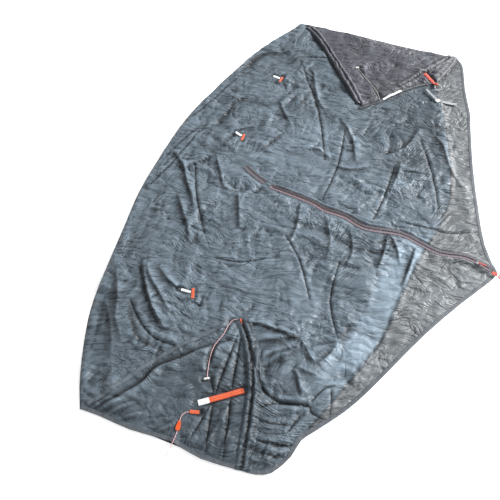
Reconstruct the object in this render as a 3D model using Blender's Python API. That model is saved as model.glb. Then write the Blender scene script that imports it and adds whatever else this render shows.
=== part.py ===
"""Tent rainfly lying spread on the floor, with its head end folded over.

Frame: +Z up, origin under the middle of the cloth, floor at z = 0, +Y towards the
head end. All lengths are in metres. The cloth is a stack of thin slabs: the rear wall
lies on the floor, the canopy and the two door halves lie on it, and the head flap is
folded over them. Cords are round tubes along a smooth route.
"""
import math

import bmesh
import bpy
from mathutils import Matrix, Vector

# Heights of the layers above the floor
REAR_TOP = 0.0040
SKIN_BOTTOM = 0.0043
SKIN_TOP = 0.0090
FLAP_BOTTOM = 0.0093
FLAP_TOP = 0.0140
TOUCH_GAP = 0.0003
ON_SKIN = SKIN_TOP + TOUCH_GAP
ON_FLAP = FLAP_TOP + TOUCH_GAP
PANEL_GAP = 0.0005

# Webbing, seams and hems
HEM_WIDTH = 0.012
SEAM_WIDTH = 0.016
SEAM_THICK = 0.0022
WEBBING_WIDTH = 0.018
WEBBING_THICK = 0.0020
TAPE_WIDTH = 0.012
TAPE_THICK = 0.0008
COIL_WIDTH = 0.0024
COIL_THICK = 0.0016
CORD_RADIUS = 0.0011
ZIP_GAP = 0.0004
ZIP_SPANS = 3

# Corners of the cloth, in plan
HEAD_TOP = (0.040, 1.148)
HEAD_CORNER = (0.775, 0.830)
DOOR_TIP = (0.615, -0.471)
HEAD_HINGE_START = (-0.185, -0.020)
HEAD_HINGE_END = (0.720, 0.350)
FOOT_HINGE_START = (-0.190, -0.040)
FOOT_HINGE_END = (-0.070, -1.032)

LEFT_FOLD = [(-0.755, -0.960), (-0.775, -0.850), (-0.785, -0.690), (-0.780, -0.575),
             (-0.760, -0.450), (-0.720, -0.240), (-0.685, -0.060), (-0.610, 0.175),
             (-0.520, 0.405), (-0.345, 0.705), (-0.200, 0.916), (-0.003, 1.130)]
CANOPY_SIDE = [(0.775, 0.830), (0.785, 0.765), (0.754, 0.590), (0.733, 0.405), (0.720, 0.350)]
DOOR_SIDE = [(0.720, 0.350), (0.660, 0.055), (0.626, -0.165), (0.606, -0.335), (0.615, -0.471)]
DOOR_HEM = [(0.615, -0.471), (0.583, -0.502), (0.457, -0.595), (0.317, -0.710),
            (0.203, -0.816), (0.114, -0.900), (0.031, -0.968), (-0.070, -1.032)]
CANOPY_FOOT = [(-0.070, -1.032), (-0.105, -1.055), (-0.135, -1.100), (-0.189, -1.143),
               (-0.235, -1.148), (-0.276, -1.138)]
GATHER_LINE = [(-0.276, -1.138), (-0.262, -1.050), (-0.248, -0.950), (-0.243, -0.880),
               (-0.248, -0.790), (-0.262, -0.715), (-0.285, -0.655)]
END_HEM = [(-0.755, -0.960), (-0.692, -0.982), (-0.598, -1.022), (-0.479, -1.057),
           (-0.390, -1.105), (-0.276, -1.138)]
END_SEAM = [(-0.285, -0.655), (-0.442, -0.738), (-0.562, -0.812), (-0.672, -0.908),
            (-0.755, -0.960)]
ZIP_LINE = [(-0.187, -0.031), (-0.151, -0.059), (-0.017, -0.129), (0.037, -0.172),
            (0.111, -0.206), (0.179, -0.262), (0.305, -0.290), (0.371, -0.337),
            (0.434, -0.381), (0.521, -0.398), (0.581, -0.441), (0.615, -0.471)]
REAR_EDGE = [(0.660, 0.865), (0.615, 0.550), (0.600, 0.300), (0.530, -0.113), (0.373, -0.383),
             (0.258, -0.575), (0.166, -0.746), (0.005, -0.931), (-0.080, -1.022)]
REAR_FOOT = [(-0.080, -1.022), (-0.150, -1.105), (-0.250, -1.138), (-0.390, -1.095),
             (-0.600, -1.012), (-0.750, -0.950)]
FLAP_HEM = [(0.245, 0.433), (0.357, 0.491), (0.454, 0.558), (0.545, 0.602), (0.625, 0.618)]
FLAP_SIDE = [(0.625, 0.618), (0.700, 0.715), (0.775, 0.830)]
FLAP_SEAM = [(0.100, 1.000), (0.140, 0.850), (0.195, 0.640), (0.250, 0.470)]

# Tie-outs: middle of the tab, angle of the tab, angle of the loop, in plan
TIE_OUTS = {"a": ((-0.103, 0.655), 68.0, 144.0),
            "b": ((-0.280, 0.244), 74.0, 135.0),
            "c": ((-0.444, -0.555), 90.0, 160.0)}
TIE_TAB = (0.040, 0.010, 0.0016)
LOOP_LENGTH = 0.036
LOOP_HEIGHT = 0.0073
LOOP_WIDTH = 0.006
LOOP_WALL = 0.00115
LOOP_CLEARANCE = 0.0030

# Foot strap
STRAP_HINGE = (-0.268, -0.905)
STRAP_END = (-0.404, -0.945)
REFLECTIVE_LENGTH = 0.034

# Corner webbing with its ring, and the ladder strap beside it
TAB_START = (0.583, 0.697)
TAB_EYE = (0.618, 0.598)
EYE_HEIGHT = 0.0230
EYE_OUTER = 0.0050
EYE_INNER = 0.0036
RING_RADIUS = 0.0160
RING_WIRE = 0.0020
RING_SLOPE = 20.0
LADDER_HINGE = (0.567, 0.572)
LADDER_END = (0.599, 0.496)
TAIL_START = (0.6185, 0.4795)
TAIL_END = (0.681, 0.458)

# Zipper: ends of the tapes and coils, and the patch where the door ends
TAPE_START = (-0.160, -0.0525)
TAPE_END = (0.596, -0.4545)
COIL_END = (0.590, -0.4495)
END_PATCH = [(-0.202, -0.018), (-0.235, 0.020), (-0.268, 0.064)]

# The slider hangs on the foot half: at rest close to the tip, and at its other end
SLIDER_REST = (0.5556, -0.4311)
SLIDER_OPEN = (-0.1285, -0.0786)
SLIDER_BOTTOM = 0.0126
SLIDER_THICK = 0.0030
HUB_RISE = 0.0052
PULL_LENGTH = 0.0270
PULL_WIDTH = 0.0040

# Webbing at the door's tip, on the foot half, and the hinge of the stake loop on it
STAKE_DIRECTION = (0.870, -0.493)
STAKE_HINGE = (0.6158, -0.4800, 0.0070)
STAKE_OUTER = 0.0115
STAKE_INNER = 0.0078
STAKE_RUN = 0.012
TIP_TAB_LENGTH = 0.020
TIP_TAB_WIDTH = 0.014
TIP_TAB_ASIDE = 0.0075

# Routes of the free cords
FOOT_CORD = [(-0.2905, -0.6600, 0.0106), (-0.3000, -0.6580, 0.0106), (-0.3100, -0.6640, 0.0108),
             (-0.3180, -0.6760, 0.0108), (-0.3260, -0.6920, 0.0108), (-0.3340, -0.7100, 0.0108),
             (-0.3440, -0.7260, 0.0108), (-0.3560, -0.7420, 0.0106), (-0.3660, -0.7600, 0.0106),
             (-0.3720, -0.7800, 0.0106), (-0.3760, -0.8000, 0.0106), (-0.3785, -0.8200, 0.0106),
             (-0.3800, -0.8380, 0.0106), (-0.3810, -0.8530, 0.0110), (-0.3815, -0.8632, 0.0128)]
HEAD_CORD = [(0.3360, 0.4960, 0.0156), (0.3390, 0.5040, 0.0156), (0.3400, 0.5160, 0.0156),
             (0.3385, 0.5300, 0.0156), (0.3355, 0.5460, 0.0156), (0.3315, 0.5640, 0.0156),
             (0.3265, 0.5820, 0.0156), (0.3200, 0.6000, 0.0156), (0.3130, 0.6160, 0.0156),
             (0.3065, 0.6320, 0.0156), (0.3000, 0.6500, 0.0156), (0.2930, 0.6700, 0.0156),
             (0.2860, 0.6900, 0.0156), (0.2790, 0.7080, 0.0156), (0.2730, 0.7230, 0.0160),
             (0.2690, 0.7330, 0.0176)]
GUY_CORD = [(-0.4285, -0.9722, 0.0106), (-0.4370, -0.9735, 0.0108), (-0.4450, -0.9780, 0.0112),
            (-0.4505, -0.9850, 0.0116), (-0.4532, -0.9930, 0.0118), (-0.4550, -1.0030, 0.0118),
            (-0.4568, -1.0130, 0.0118), (-0.4586, -1.0230, 0.0118), (-0.4604, -1.0330, 0.0118),
            (-0.4630, -1.0430, 0.0124), (-0.4670, -1.0540, 0.0124), (-0.4715, -1.0650, 0.0100),
            (-0.4765, -1.0760, 0.0052), (-0.4820, -1.0870, 0.0018), (-0.4880, -1.0970, 0.0014)]
CORNER_CORD = [(0.7805, 0.8360, 0.0080), (0.7860, 0.8420, 0.0066), (0.7930, 0.8460, 0.0044),
               (0.8020, 0.8470, 0.0024), (0.8110, 0.8430, 0.0015), (0.8180, 0.8340, 0.0014),
               (0.8220, 0.8220, 0.0014), (0.8235, 0.8080, 0.0014), (0.8220, 0.7940, 0.0014),
               (0.8175, 0.7800, 0.0014), (0.8115, 0.7660, 0.0014), (0.8050, 0.7530, 0.0014),
               (0.7985, 0.7410, 0.0018), (0.7925, 0.7310, 0.0030), (0.7870, 0.7230, 0.0046),
               (0.7820, 0.7160, 0.0060)]
TOGGLE_LENGTH = 0.018
TOGGLE_RADIUS = 0.0040
FOOT_TOGGLE = ((-0.3825, -0.8680), 12.0)
HEAD_TOGGLE = ((0.2660, 0.7385), 25.0)
TENSIONER_LENGTH = 0.028
TENSIONER_CENTRE = (-0.4569, -1.0135)
TENSIONER_ANGLE = -100.2
TENSIONER_HEIGHT = 0.0118

PALETTE = {
    "canopy_cloth": ((0.20, 0.23, 0.27), 0.55, 0.0),
    "rear_cloth": ((0.18, 0.20, 0.23), 0.60, 0.0),
    "seam_tape": ((0.10, 0.11, 0.13), 0.60, 0.0),
    "orange_webbing": ((0.85, 0.12, 0.02), 0.70, 0.0),
    "red_webbing": ((0.75, 0.07, 0.03), 0.70, 0.0),
    "reflective": ((0.85, 0.85, 0.86), 0.35, 0.0),
    "zipper_tape": ((0.36, 0.16, 0.19), 0.75, 0.0),
    "zipper_coil": ((0.14, 0.08, 0.10), 0.40, 0.0),
    "steel": ((0.78, 0.78, 0.80), 0.20, 1.0),
    "pale_plastic": ((0.80, 0.80, 0.78), 0.40, 0.0),
    "orange_plastic": ((0.85, 0.12, 0.02), 0.35, 0.0),
    "ladder_webbing": ((0.52, 0.54, 0.56), 0.70, 0.0),
    "pale_cord": ((0.75, 0.52, 0.55), 0.70, 0.0),
    "grey_cord": ((0.60, 0.58, 0.52), 0.70, 0.0),
}

pivots = {}


def clear_scene():
    for item in list(bpy.data.objects):
        bpy.data.objects.remove(item, do_unlink=True)


def make_material(slot):
    colour, roughness, metallic = PALETTE[slot]
    found = bpy.data.materials.get(slot)
    if found:
        return found
    made = bpy.data.materials.new(slot)
    made.use_nodes = True
    shader = made.node_tree.nodes["Principled BSDF"]
    shader.inputs["Base Color"].default_value = (*colour, 1.0)
    shader.inputs["Roughness"].default_value = roughness
    shader.inputs["Metallic"].default_value = metallic
    return made


def add_pivot(name, position, parent=None):
    """An empty on a joint's axis, which carries the pieces that the joint moves."""
    marker = bpy.data.objects.new(name + "_axis", None)
    bpy.context.collection.objects.link(marker)
    place = Vector(position)
    pivots[name] = (marker, place)
    if parent:
        holder, holder_place = pivots[parent]
        marker.parent = holder
        place = place - holder_place
    marker.location = place
    return marker


def add_object(name, data, slot, body=None):
    item = bpy.data.objects.new(name, data)
    bpy.context.collection.objects.link(item)
    item.data.materials.append(make_material(slot))
    if body:
        holder, place = pivots[body]
        item.data.transform(Matrix.Translation(-place))
        item.parent = holder
    return item


def add_mesh(name, form, slot, body=None, round_piece=False):
    bmesh.ops.recalc_face_normals(form, faces=form.faces)
    mesh = bpy.data.meshes.new(name)
    form.to_mesh(mesh)
    form.free()
    if round_piece:
        mesh.shade_smooth()
        mesh.set_sharp_from_angle(angle=math.radians(40))
    return add_object(name, mesh, slot, body)


def smooth_line(points, pieces=3):
    """Catmull-Rom curve through plan or space points, each span cut into equal pieces."""
    knots = [Vector(point) for point in points]
    first = knots[0] * 2 - knots[1]
    last = knots[-1] * 2 - knots[-2]
    padded = [first] + knots + [last]
    line = []
    for index in range(1, len(padded) - 2):
        before, start, end, after = padded[index - 1:index + 3]
        for step in range(pieces):
            t = step / pieces
            line.append(0.5 * (2 * start + (end - before) * t
                               + (2 * before - 5 * start + 4 * end - after) * t * t
                               + (3 * start - before - 3 * end + after) * t ** 3))
    line.append(knots[-1])
    return line


def turned_left(vector):
    return Vector((-vector.y, vector.x))


def signed_area(outline):
    total = 0.0
    for here, there in zip(outline, outline[1:] + outline[:1]):
        total += here.x * there.y - there.x * here.y
    return total / 2


def inset(outline, gap):
    """Moves every side of a closed outline inwards by the gap."""
    points = [Vector(point) for point in outline]
    if signed_area(points) < 0:
        points.reverse()
    moved = []
    for index, here in enumerate(points):
        before = points[index - 1]
        after = points[(index + 1) % len(points)]
        side_in = turned_left((here - before).normalized())
        side_out = turned_left((after - here).normalized())
        middle = (side_in + side_out).normalized()
        reach = gap / max(0.3, middle.dot(side_in))
        moved.append(here + middle * reach)
    return moved


def join_lines(*lines):
    """One closed outline from lines that meet at their ends."""
    outline = []
    for line in lines:
        for point in line:
            place = Vector(point)
            if not outline or (place - outline[-1]).length > 1e-5:
                outline.append(place)
    if (outline[0] - outline[-1]).length < 1e-5:
        outline.pop()
    return outline


def prism(form, outline, low, high):
    bottom = [form.verts.new((point[0], point[1], low)) for point in outline]
    top = [form.verts.new((point[0], point[1], high)) for point in outline]
    form.faces.new(bottom)
    form.faces.new(top)
    count = len(outline)
    for index in range(count):
        after = (index + 1) % count
        form.faces.new((bottom[index], bottom[after], top[after], top[index]))


def slab(name, outline, low, high, slot, body=None):
    form = bmesh.new()
    prism(form, inset(outline, PANEL_GAP), low, high)
    return add_mesh(name, form, slot, body)


def side_lines(line, left_reach, right_reach):
    """The two edges of a strip that follows a line in plan."""
    left = []
    right = []
    for index, here in enumerate(line):
        before = line[max(index - 1, 0)]
        after = line[min(index + 1, len(line) - 1)]
        sideways = turned_left((after - before).normalized())
        left.append(here + sideways * left_reach)
        right.append(here - sideways * right_reach)
    return left, right


def strip(name, points, reach, low, high, slot, body=None, pieces=3):
    """A flat strip along a smooth line; reach is how far it goes to the left and right."""
    left, right = side_lines(smooth_line(points, pieces), *reach)
    form = bmesh.new()
    prism(form, left + right[::-1], low, high)
    return add_mesh(name, form, slot, body)


def roll(name, points, width, low, height, slot, body=None):
    """A gathered roll of cloth: a half oval section that swells from both ends."""
    line = smooth_line(points, 4)
    form = bmesh.new()
    sections = []
    for index, here in enumerate(line):
        before = line[max(index - 1, 0)]
        after = line[min(index + 1, len(line) - 1)]
        sideways = turned_left((after - before).normalized())
        swell = 0.30 + 0.70 * math.sin(math.pi * index / (len(line) - 1)) ** 0.5
        section = []
        for step in range(9):
            turn = math.pi * step / 8
            across = sideways * (math.cos(turn) * width / 2 * swell)
            rise = math.sin(turn) * height * swell
            section.append(form.verts.new((here.x + across.x, here.y + across.y, low + rise)))
        sections.append(section)
    for one, two in zip(sections, sections[1:]):
        for step in range(9):
            after = (step + 1) % 9
            form.faces.new((one[step], one[after], two[after], two[step]))
    form.faces.new(sections[0])
    form.faces.new(sections[-1])
    return add_mesh(name, form, slot, body, round_piece=True)


def block(form, centre, size, angle=0.0):
    turn = Matrix.Translation(centre) @ Matrix.Rotation(math.radians(angle), 4, "Z")
    made = bmesh.ops.create_cube(form, size=1.0, matrix=turn @ Matrix.Diagonal((*size, 1.0)))
    return made["verts"]


def side_profile(name, start, direction, profile, width, slot, body=None):
    """Extrudes a profile, drawn along a plan direction and upwards, to both sides."""
    along = Vector(direction).normalized()
    across = turned_left(along) * (width / 2)
    form = bmesh.new()
    rows = []
    for side in (1, -1):
        row = []
        for reach, height in profile:
            place = Vector(start) + along * reach + across * side
            row.append(form.verts.new((place.x, place.y, height)))
        rows.append(row)
    form.faces.new(rows[0])
    form.faces.new(rows[1])
    count = len(profile)
    for index in range(count):
        after = (index + 1) % count
        form.faces.new((rows[0][index], rows[0][after], rows[1][after], rows[1][index]))
    return add_mesh(name, form, slot, body)


def oval_points(length, radius, steps=8):
    """A racetrack outline round two end centres, length apart, in its own plane."""
    points = []
    for step in range(steps + 1):
        turn = math.pi / 2 + math.pi * step / steps
        points.append((radius * math.cos(turn), radius * math.sin(turn)))
    for step in range(steps + 1):
        turn = -math.pi / 2 + math.pi * step / steps
        points.append((length + radius * math.cos(turn), radius * math.sin(turn)))
    return points


def racetrack_ring(name, place_point, length, outer, inner, width, slot, body):
    """A closed loop of band between two racetracks; place_point turns its plane into space."""
    form = bmesh.new()
    rings = []
    for radius in (outer, inner):
        for side in (-width / 2, width / 2):
            ring = [form.verts.new(place_point(x, y, side)) for x, y in oval_points(length, radius)]
            rings.append(ring)
    count = len(rings[0])
    for one, two in ((0, 1), (1, 3), (3, 2), (2, 0)):
        for index in range(count):
            after = (index + 1) % count
            form.faces.new((rings[one][index], rings[one][after],
                            rings[two][after], rings[two][index]))
    return add_mesh(name, form, slot, body, round_piece=True)


def cord(name, route, slot, body=None, radius=CORD_RADIUS):
    data = bpy.data.curves.new(name, "CURVE")
    data.dimensions = "3D"
    data.bevel_depth = radius
    data.bevel_resolution = 2
    data.use_fill_caps = True
    line = smooth_line(route, 2)
    spline = data.splines.new("POLY")
    spline.points.add(len(line) - 1)
    for knot, place in zip(spline.points, line):
        knot.co = (*place, 1.0)
    return add_object(name, data, slot, body)


def turned_toggle(name, centre, height, angle, slot, body=None):
    """A small barrel toggle lying on its side, with rounded ends and a waist."""
    half = TOGGLE_LENGTH / 2
    outline = [(-half, 0.55), (-half * 0.86, 0.92), (-half * 0.5, 1.0), (0.0, 0.84),
               (half * 0.5, 1.0), (half * 0.86, 0.92), (half, 0.55)]
    turn = Matrix.Translation((*centre, height)) @ Matrix.Rotation(math.radians(angle), 4, "Z")
    form = bmesh.new()
    rings = []
    for reach, share in outline:
        ring = []
        for step in range(12):
            spin = 2 * math.pi * step / 12
            wide = TOGGLE_RADIUS * share
            place = turn @ Vector((reach, wide * math.cos(spin), wide * math.sin(spin)))
            ring.append(form.verts.new(place))
        rings.append(ring)
    for one, two in zip(rings, rings[1:]):
        for step in range(12):
            after = (step + 1) % 12
            form.faces.new((one[step], one[after], two[after], two[step]))
    form.faces.new(rings[0])
    form.faces.new(rings[-1])
    return add_mesh(name, form, slot, body, round_piece=True)


def boolean(target, cutter, operation):
    """Joins a helper solid to a piece, or cuts it away; the helper isn't part of the object."""
    cutter.hide_render = True
    cutter.display_type = "WIRE"
    step = target.modifiers.new(operation.lower() + "_" + cutter.name, "BOOLEAN")
    step.operation = operation
    step.solver = "EXACT"
    step.object = cutter


def helper_cylinder(name, centre, axis, radius, length, body=None):
    form = bmesh.new()
    aim = Vector(axis).to_track_quat("Z", "Y").to_matrix().to_4x4()
    bmesh.ops.create_cone(form, cap_ends=True, segments=20, radius1=radius, radius2=radius,
                          depth=length, matrix=Matrix.Translation(centre) @ aim)
    return add_mesh(name, form, "steel", body)


def helper_block(name, centre, size, angle, body=None):
    form = bmesh.new()
    block(form, centre, size, angle)
    return add_mesh(name, form, "steel", body)


def plan_angle(start, end):
    return math.degrees(math.atan2(end[1] - start[1], end[0] - start[0]))


def make_pivots():
    add_pivot("door_head", (*HEAD_HINGE_START, SKIN_TOP))
    add_pivot("door_foot", (*FOOT_HINGE_START, SKIN_TOP))
    add_pivot("head_flap", (*HEAD_TOP, FLAP_BOTTOM))
    add_pivot("zipper_slider", (*SLIDER_REST, SLIDER_BOTTOM), "door_foot")
    add_pivot("foot_strap", (*STRAP_HINGE, ON_SKIN + WEBBING_THICK / 2))
    add_pivot("corner_ring", (*TAB_EYE, EYE_HEIGHT), "head_flap")
    add_pivot("ladder_strap", (*LADDER_HINGE, ON_FLAP + 0.0011), "head_flap")
    add_pivot("strap_tail", (*TAIL_START, ON_FLAP + 0.0008), "ladder_strap")
    add_pivot("stake_loop", STAKE_HINGE, "door_foot")
    add_pivot("guy_tensioner", (*TENSIONER_CENTRE, TENSIONER_HEIGHT))


def make_cloth():
    """The panels: rear wall below, canopy, foot end and the two door halves above it."""
    left = smooth_line(LEFT_FOLD)
    top = [HEAD_TOP, HEAD_CORNER]
    hinge_head = [HEAD_HINGE_END, HEAD_HINGE_START]
    hinge_foot = [FOOT_HINGE_START, FOOT_HINGE_END]
    zip_line = smooth_line(ZIP_LINE, ZIP_SPANS)
    seam = smooth_line(END_SEAM, 2)
    gather = smooth_line(GATHER_LINE, 2)
    canopy = join_lines(left, top, smooth_line(CANOPY_SIDE, 2), hinge_head, hinge_foot,
                        smooth_line(CANOPY_FOOT, 2), gather, seam)
    slab("canopy_panel", canopy, SKIN_BOTTOM, SKIN_TOP, "canopy_cloth")
    door_head = join_lines([HEAD_HINGE_START, HEAD_HINGE_END], smooth_line(DOOR_SIDE, 2),
                           zip_line[::-1])
    slab("door_panel_head", door_head, SKIN_BOTTOM, SKIN_TOP, "canopy_cloth", "door_head")
    # The foot half starts one knot late, so that its corner clears the head half as it folds
    door_foot = join_lines([FOOT_HINGE_END, FOOT_HINGE_START], zip_line[ZIP_SPANS:],
                           smooth_line(DOOR_HEM, 2))
    slab("door_panel_foot", door_foot, SKIN_BOTTOM, SKIN_TOP, "canopy_cloth", "door_foot")
    foot_end = join_lines(gather, seam, smooth_line(END_HEM, 2))
    slab("foot_end_panel", foot_end, SKIN_BOTTOM, SKIN_TOP, "canopy_cloth")
    inner_edge = side_lines(smooth_line(REAR_EDGE, 2), 0.0, HEM_WIDTH + PANEL_GAP)[1]
    rear = join_lines(left, [HEAD_TOP], inner_edge, smooth_line(REAR_FOOT, 2)[1:])
    slab("rear_wall_panel", rear, 0.0, REAR_TOP, "rear_cloth")
    strip("rear_wall_hem", REAR_EDGE, (-PANEL_GAP, HEM_WIDTH - PANEL_GAP), 0.0, REAR_TOP,
          "seam_tape", pieces=2)
    flap = join_lines([HEAD_CORNER, HEAD_TOP], smooth_line(FLAP_SEAM, 2),
                      smooth_line(FLAP_HEM, 2), smooth_line(FLAP_SIDE, 2))
    slab("head_flap_panel", flap, FLAP_BOTTOM, FLAP_TOP, "canopy_cloth", "head_flap")


def make_hems_and_seams():
    edge = HEM_WIDTH + 0.001
    strip("canopy_hem", CANOPY_SIDE[:-1] + [(0.7235, 0.362)], (-0.001, edge), 0.0, REAR_TOP,
          "seam_tape")
    strip("door_hem_head", [(0.716, 0.338)] + DOOR_SIDE[1:-1] + [(0.612, -0.448)],
          (-0.001, edge), 0.0, REAR_TOP, "seam_tape", "door_head")
    strip("door_hem_foot", [(0.600, -0.486)] + DOOR_HEM[1:-1], (-0.001, edge), 0.0, REAR_TOP,
          "seam_tape", "door_foot")
    inner_hem = [(x + 0.004, y + 0.009) for x, y in END_HEM[:-1]] + [(-0.300, -1.122)]
    strip("foot_end_hem", inner_hem, (HEM_WIDTH / 2, HEM_WIDTH / 2), ON_SKIN, ON_SKIN + 0.0012,
          "seam_tape")
    seam_line = [(-0.346, -0.6875)] + END_SEAM[1:-1] + [(-0.712, -0.930)]
    strip("foot_felled_seam", seam_line, (SEAM_WIDTH / 2, SEAM_WIDTH / 2), ON_SKIN,
          ON_SKIN + SEAM_THICK, "seam_tape")
    roll("foot_gather_seam", [(-0.262, -0.706)] + GATHER_LINE[1:-1][::-1][1:] + [(-0.272, -1.120)],
         0.026, ON_SKIN, 0.021, "canopy_cloth")
    roll("head_seam_roll", [(0.112, 0.985), (0.150, 0.850), (0.205, 0.640), (0.258, 0.490)],
         0.024, ON_FLAP, 0.024, "canopy_cloth", "head_flap")
    flap_hem = [(0.275, 0.458), (0.357, 0.499), (0.454, 0.566), (0.540, 0.609)]
    strip("head_flap_hem", flap_hem, (HEM_WIDTH / 2, HEM_WIDTH / 2), ON_FLAP, ON_FLAP + 0.0014,
          "seam_tape", "head_flap")
    strip("head_reflective_strip", [(0.356, 0.4985), (0.404, 0.5315), (0.448, 0.5620)],
          (0.004, 0.004), ON_FLAP + 0.0017, ON_FLAP + 0.0025, "reflective", "head_flap")
    strip("head_side_hem", [(0.632, 0.646), (0.695, 0.725), (0.755, 0.815)],
          (HEM_WIDTH / 2, HEM_WIDTH / 2), ON_FLAP, ON_FLAP + 0.0014, "seam_tape", "head_flap")


def make_zipper():
    """Two tapes, each with its coil, on both sides of the zip line, and a patch at its end."""
    tape_track = [TAPE_START] + ZIP_LINE[2:-1] + [TAPE_END]
    coil_track = tape_track[:-1] + [COIL_END]
    tape_top = ON_SKIN + TAPE_THICK
    coil_low = tape_top + TOUCH_GAP
    coil_top = coil_low + COIL_THICK
    strip("zipper_tape_head", tape_track, (TAPE_WIDTH, -ZIP_GAP), ON_SKIN, tape_top,
          "zipper_tape", "door_head")
    strip("zipper_tape_foot", tape_track, (-ZIP_GAP, TAPE_WIDTH), ON_SKIN, tape_top,
          "zipper_tape", "door_foot")
    strip("zipper_coil_head", coil_track, (COIL_WIDTH + ZIP_GAP, -ZIP_GAP), coil_low, coil_top,
          "zipper_coil", "door_head")
    strip("zipper_coil_foot", coil_track, (-ZIP_GAP, COIL_WIDTH + ZIP_GAP), coil_low, coil_top,
          "zipper_coil", "door_foot")
    strip("zipper_end_patch", END_PATCH, (TAPE_WIDTH, TAPE_WIDTH), ON_SKIN, tape_top,
          "zipper_tape")


def make_slider():
    angle = plan_angle(SLIDER_REST, SLIDER_OPEN)
    middle = Vector((*SLIDER_REST, 0.0))
    turn = Matrix.Rotation(math.radians(angle), 4, "Z")
    form = bmesh.new()
    outline = [(-0.007, -0.0035), (0.004, -0.0055), (0.007, -0.004), (0.007, 0.004),
               (0.004, 0.0055), (-0.007, 0.0035)]
    corners = [middle + turn @ Vector((x, y, 0.0)) for x, y in outline]
    prism(form, corners, SLIDER_BOTTOM, SLIDER_BOTTOM + SLIDER_THICK)
    shell = add_mesh("zipper_slider", form, "steel", "zipper_slider")
    hub_height = SLIDER_BOTTOM + HUB_RISE
    for side in (1, -1):
        offset = turn @ Vector((0.0, side * 0.0030, 0.0))
        centre = Vector((middle.x + offset.x, middle.y + offset.y, SLIDER_BOTTOM + 0.0046))
        ear = helper_block("slider_ear_" + ("left" if side > 0 else "right"), centre,
                           (0.0036, 0.0012, 0.0044), angle, "zipper_slider")
        boolean(shell, ear, "UNION")
    add_pivot("zipper_pull", (*SLIDER_REST, hub_height), "zipper_slider")
    low = hub_height - 0.0010
    high = hub_height + 0.0010
    profile = [(0.0014, low), (PULL_LENGTH - 0.0010, low), (PULL_LENGTH, hub_height - 0.0004),
               (PULL_LENGTH, hub_height + 0.0004), (PULL_LENGTH - 0.0010, high),
               (-0.0010, high), (-0.0014, hub_height), (-0.0010, low)]
    direction = (SLIDER_REST[0] - SLIDER_OPEN[0], SLIDER_REST[1] - SLIDER_OPEN[1])
    side_profile("zipper_pull", SLIDER_REST, direction, profile, PULL_WIDTH, "red_webbing",
                 "zipper_pull")


def make_tie_outs():
    for key, (centre, tab_angle, loop_angle) in TIE_OUTS.items():
        length, width, thick = TIE_TAB
        form = bmesh.new()
        block(form, (*centre, ON_SKIN + thick / 2), (length, width, thick), tab_angle)
        add_mesh("tie_out_tab_" + key, form, "orange_webbing")
        radius = LOOP_HEIGHT / 2
        aim = math.radians(loop_angle)
        along = Vector((math.cos(aim), math.sin(aim)))
        across_tab = width / 2 / abs(math.sin(math.radians(loop_angle - tab_angle)))
        base = Vector(centre) + along * (across_tab + LOOP_CLEARANCE + radius)
        height = ON_SKIN + radius
        add_pivot("tie_out_loop_" + key, (base.x, base.y, height))
        across = turned_left(along)

        def in_space(x, y, side):
            place = base + along * x + across * side
            return (place.x, place.y, height + y)

        racetrack_ring("tie_out_loop_" + key, in_space, LOOP_LENGTH - LOOP_HEIGHT, radius,
                       radius - LOOP_WALL, LOOP_WIDTH, "reflective", "tie_out_loop_" + key)


def make_foot_pieces():
    form = bmesh.new()
    block(form, (-0.2785, -0.6700, ON_SKIN + 0.0009), (0.030, 0.010, 0.0018), 86.0)
    add_mesh("foot_tab", form, "orange_webbing")
    form = bmesh.new()
    block(form, (-0.4130, -0.9725, ON_SKIN + 0.0009), (0.028, 0.011, 0.0018), 175.0)
    add_mesh("foot_corner_tab", form, "orange_webbing")
    low = ON_SKIN
    direction = (STRAP_END[0] - STRAP_HINGE[0], STRAP_END[1] - STRAP_HINGE[1])
    full = math.hypot(*direction)
    body_end = full - REFLECTIVE_LENGTH
    strap = [(0.0, low), (body_end, low), (body_end, low + WEBBING_THICK),
             (0.0, low + WEBBING_THICK)]
    side_profile("foot_strap", STRAP_HINGE, direction, strap, WEBBING_WIDTH, "orange_webbing",
                 "foot_strap")
    end_start = body_end + TOUCH_GAP
    end_high = low + WEBBING_THICK + 0.0004
    sleeve = [(end_start, low), (full, low), (full, end_high), (end_start, end_high)]
    side_profile("foot_strap_end", STRAP_HINGE, direction, sleeve, WEBBING_WIDTH + 0.001,
                 "reflective", "foot_strap")


def make_tensioner():
    """A flat three-cornered line tensioner, which slides along the straight run of its cord."""
    turn = Matrix.Rotation(math.radians(TENSIONER_ANGLE), 4, "Z")
    middle = Vector((*TENSIONER_CENTRE, 0.0))
    half = TENSIONER_LENGTH / 2
    outline = [(-half, -0.0030), (half * 0.3, -0.0065), (half, -0.0050), (half, 0.0050),
               (half * 0.3, 0.0065), (-half, 0.0030)]
    corners = [middle + turn @ Vector((x, y, 0.0)) for x, y in outline]
    form = bmesh.new()
    prism(form, corners, TENSIONER_HEIGHT - 0.0024, TENSIONER_HEIGHT + 0.0024)
    plate = add_mesh("guy_tensioner", form, "orange_plastic", "guy_tensioner")
    axis = turn @ Vector((1.0, 0.0, 0.0))
    bore = helper_cylinder("tensioner_bore", (*TENSIONER_CENTRE, TENSIONER_HEIGHT), axis,
                           CORD_RADIUS + 0.0006, TENSIONER_LENGTH + 0.010, "guy_tensioner")
    boolean(plate, bore, "DIFFERENCE")


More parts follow.
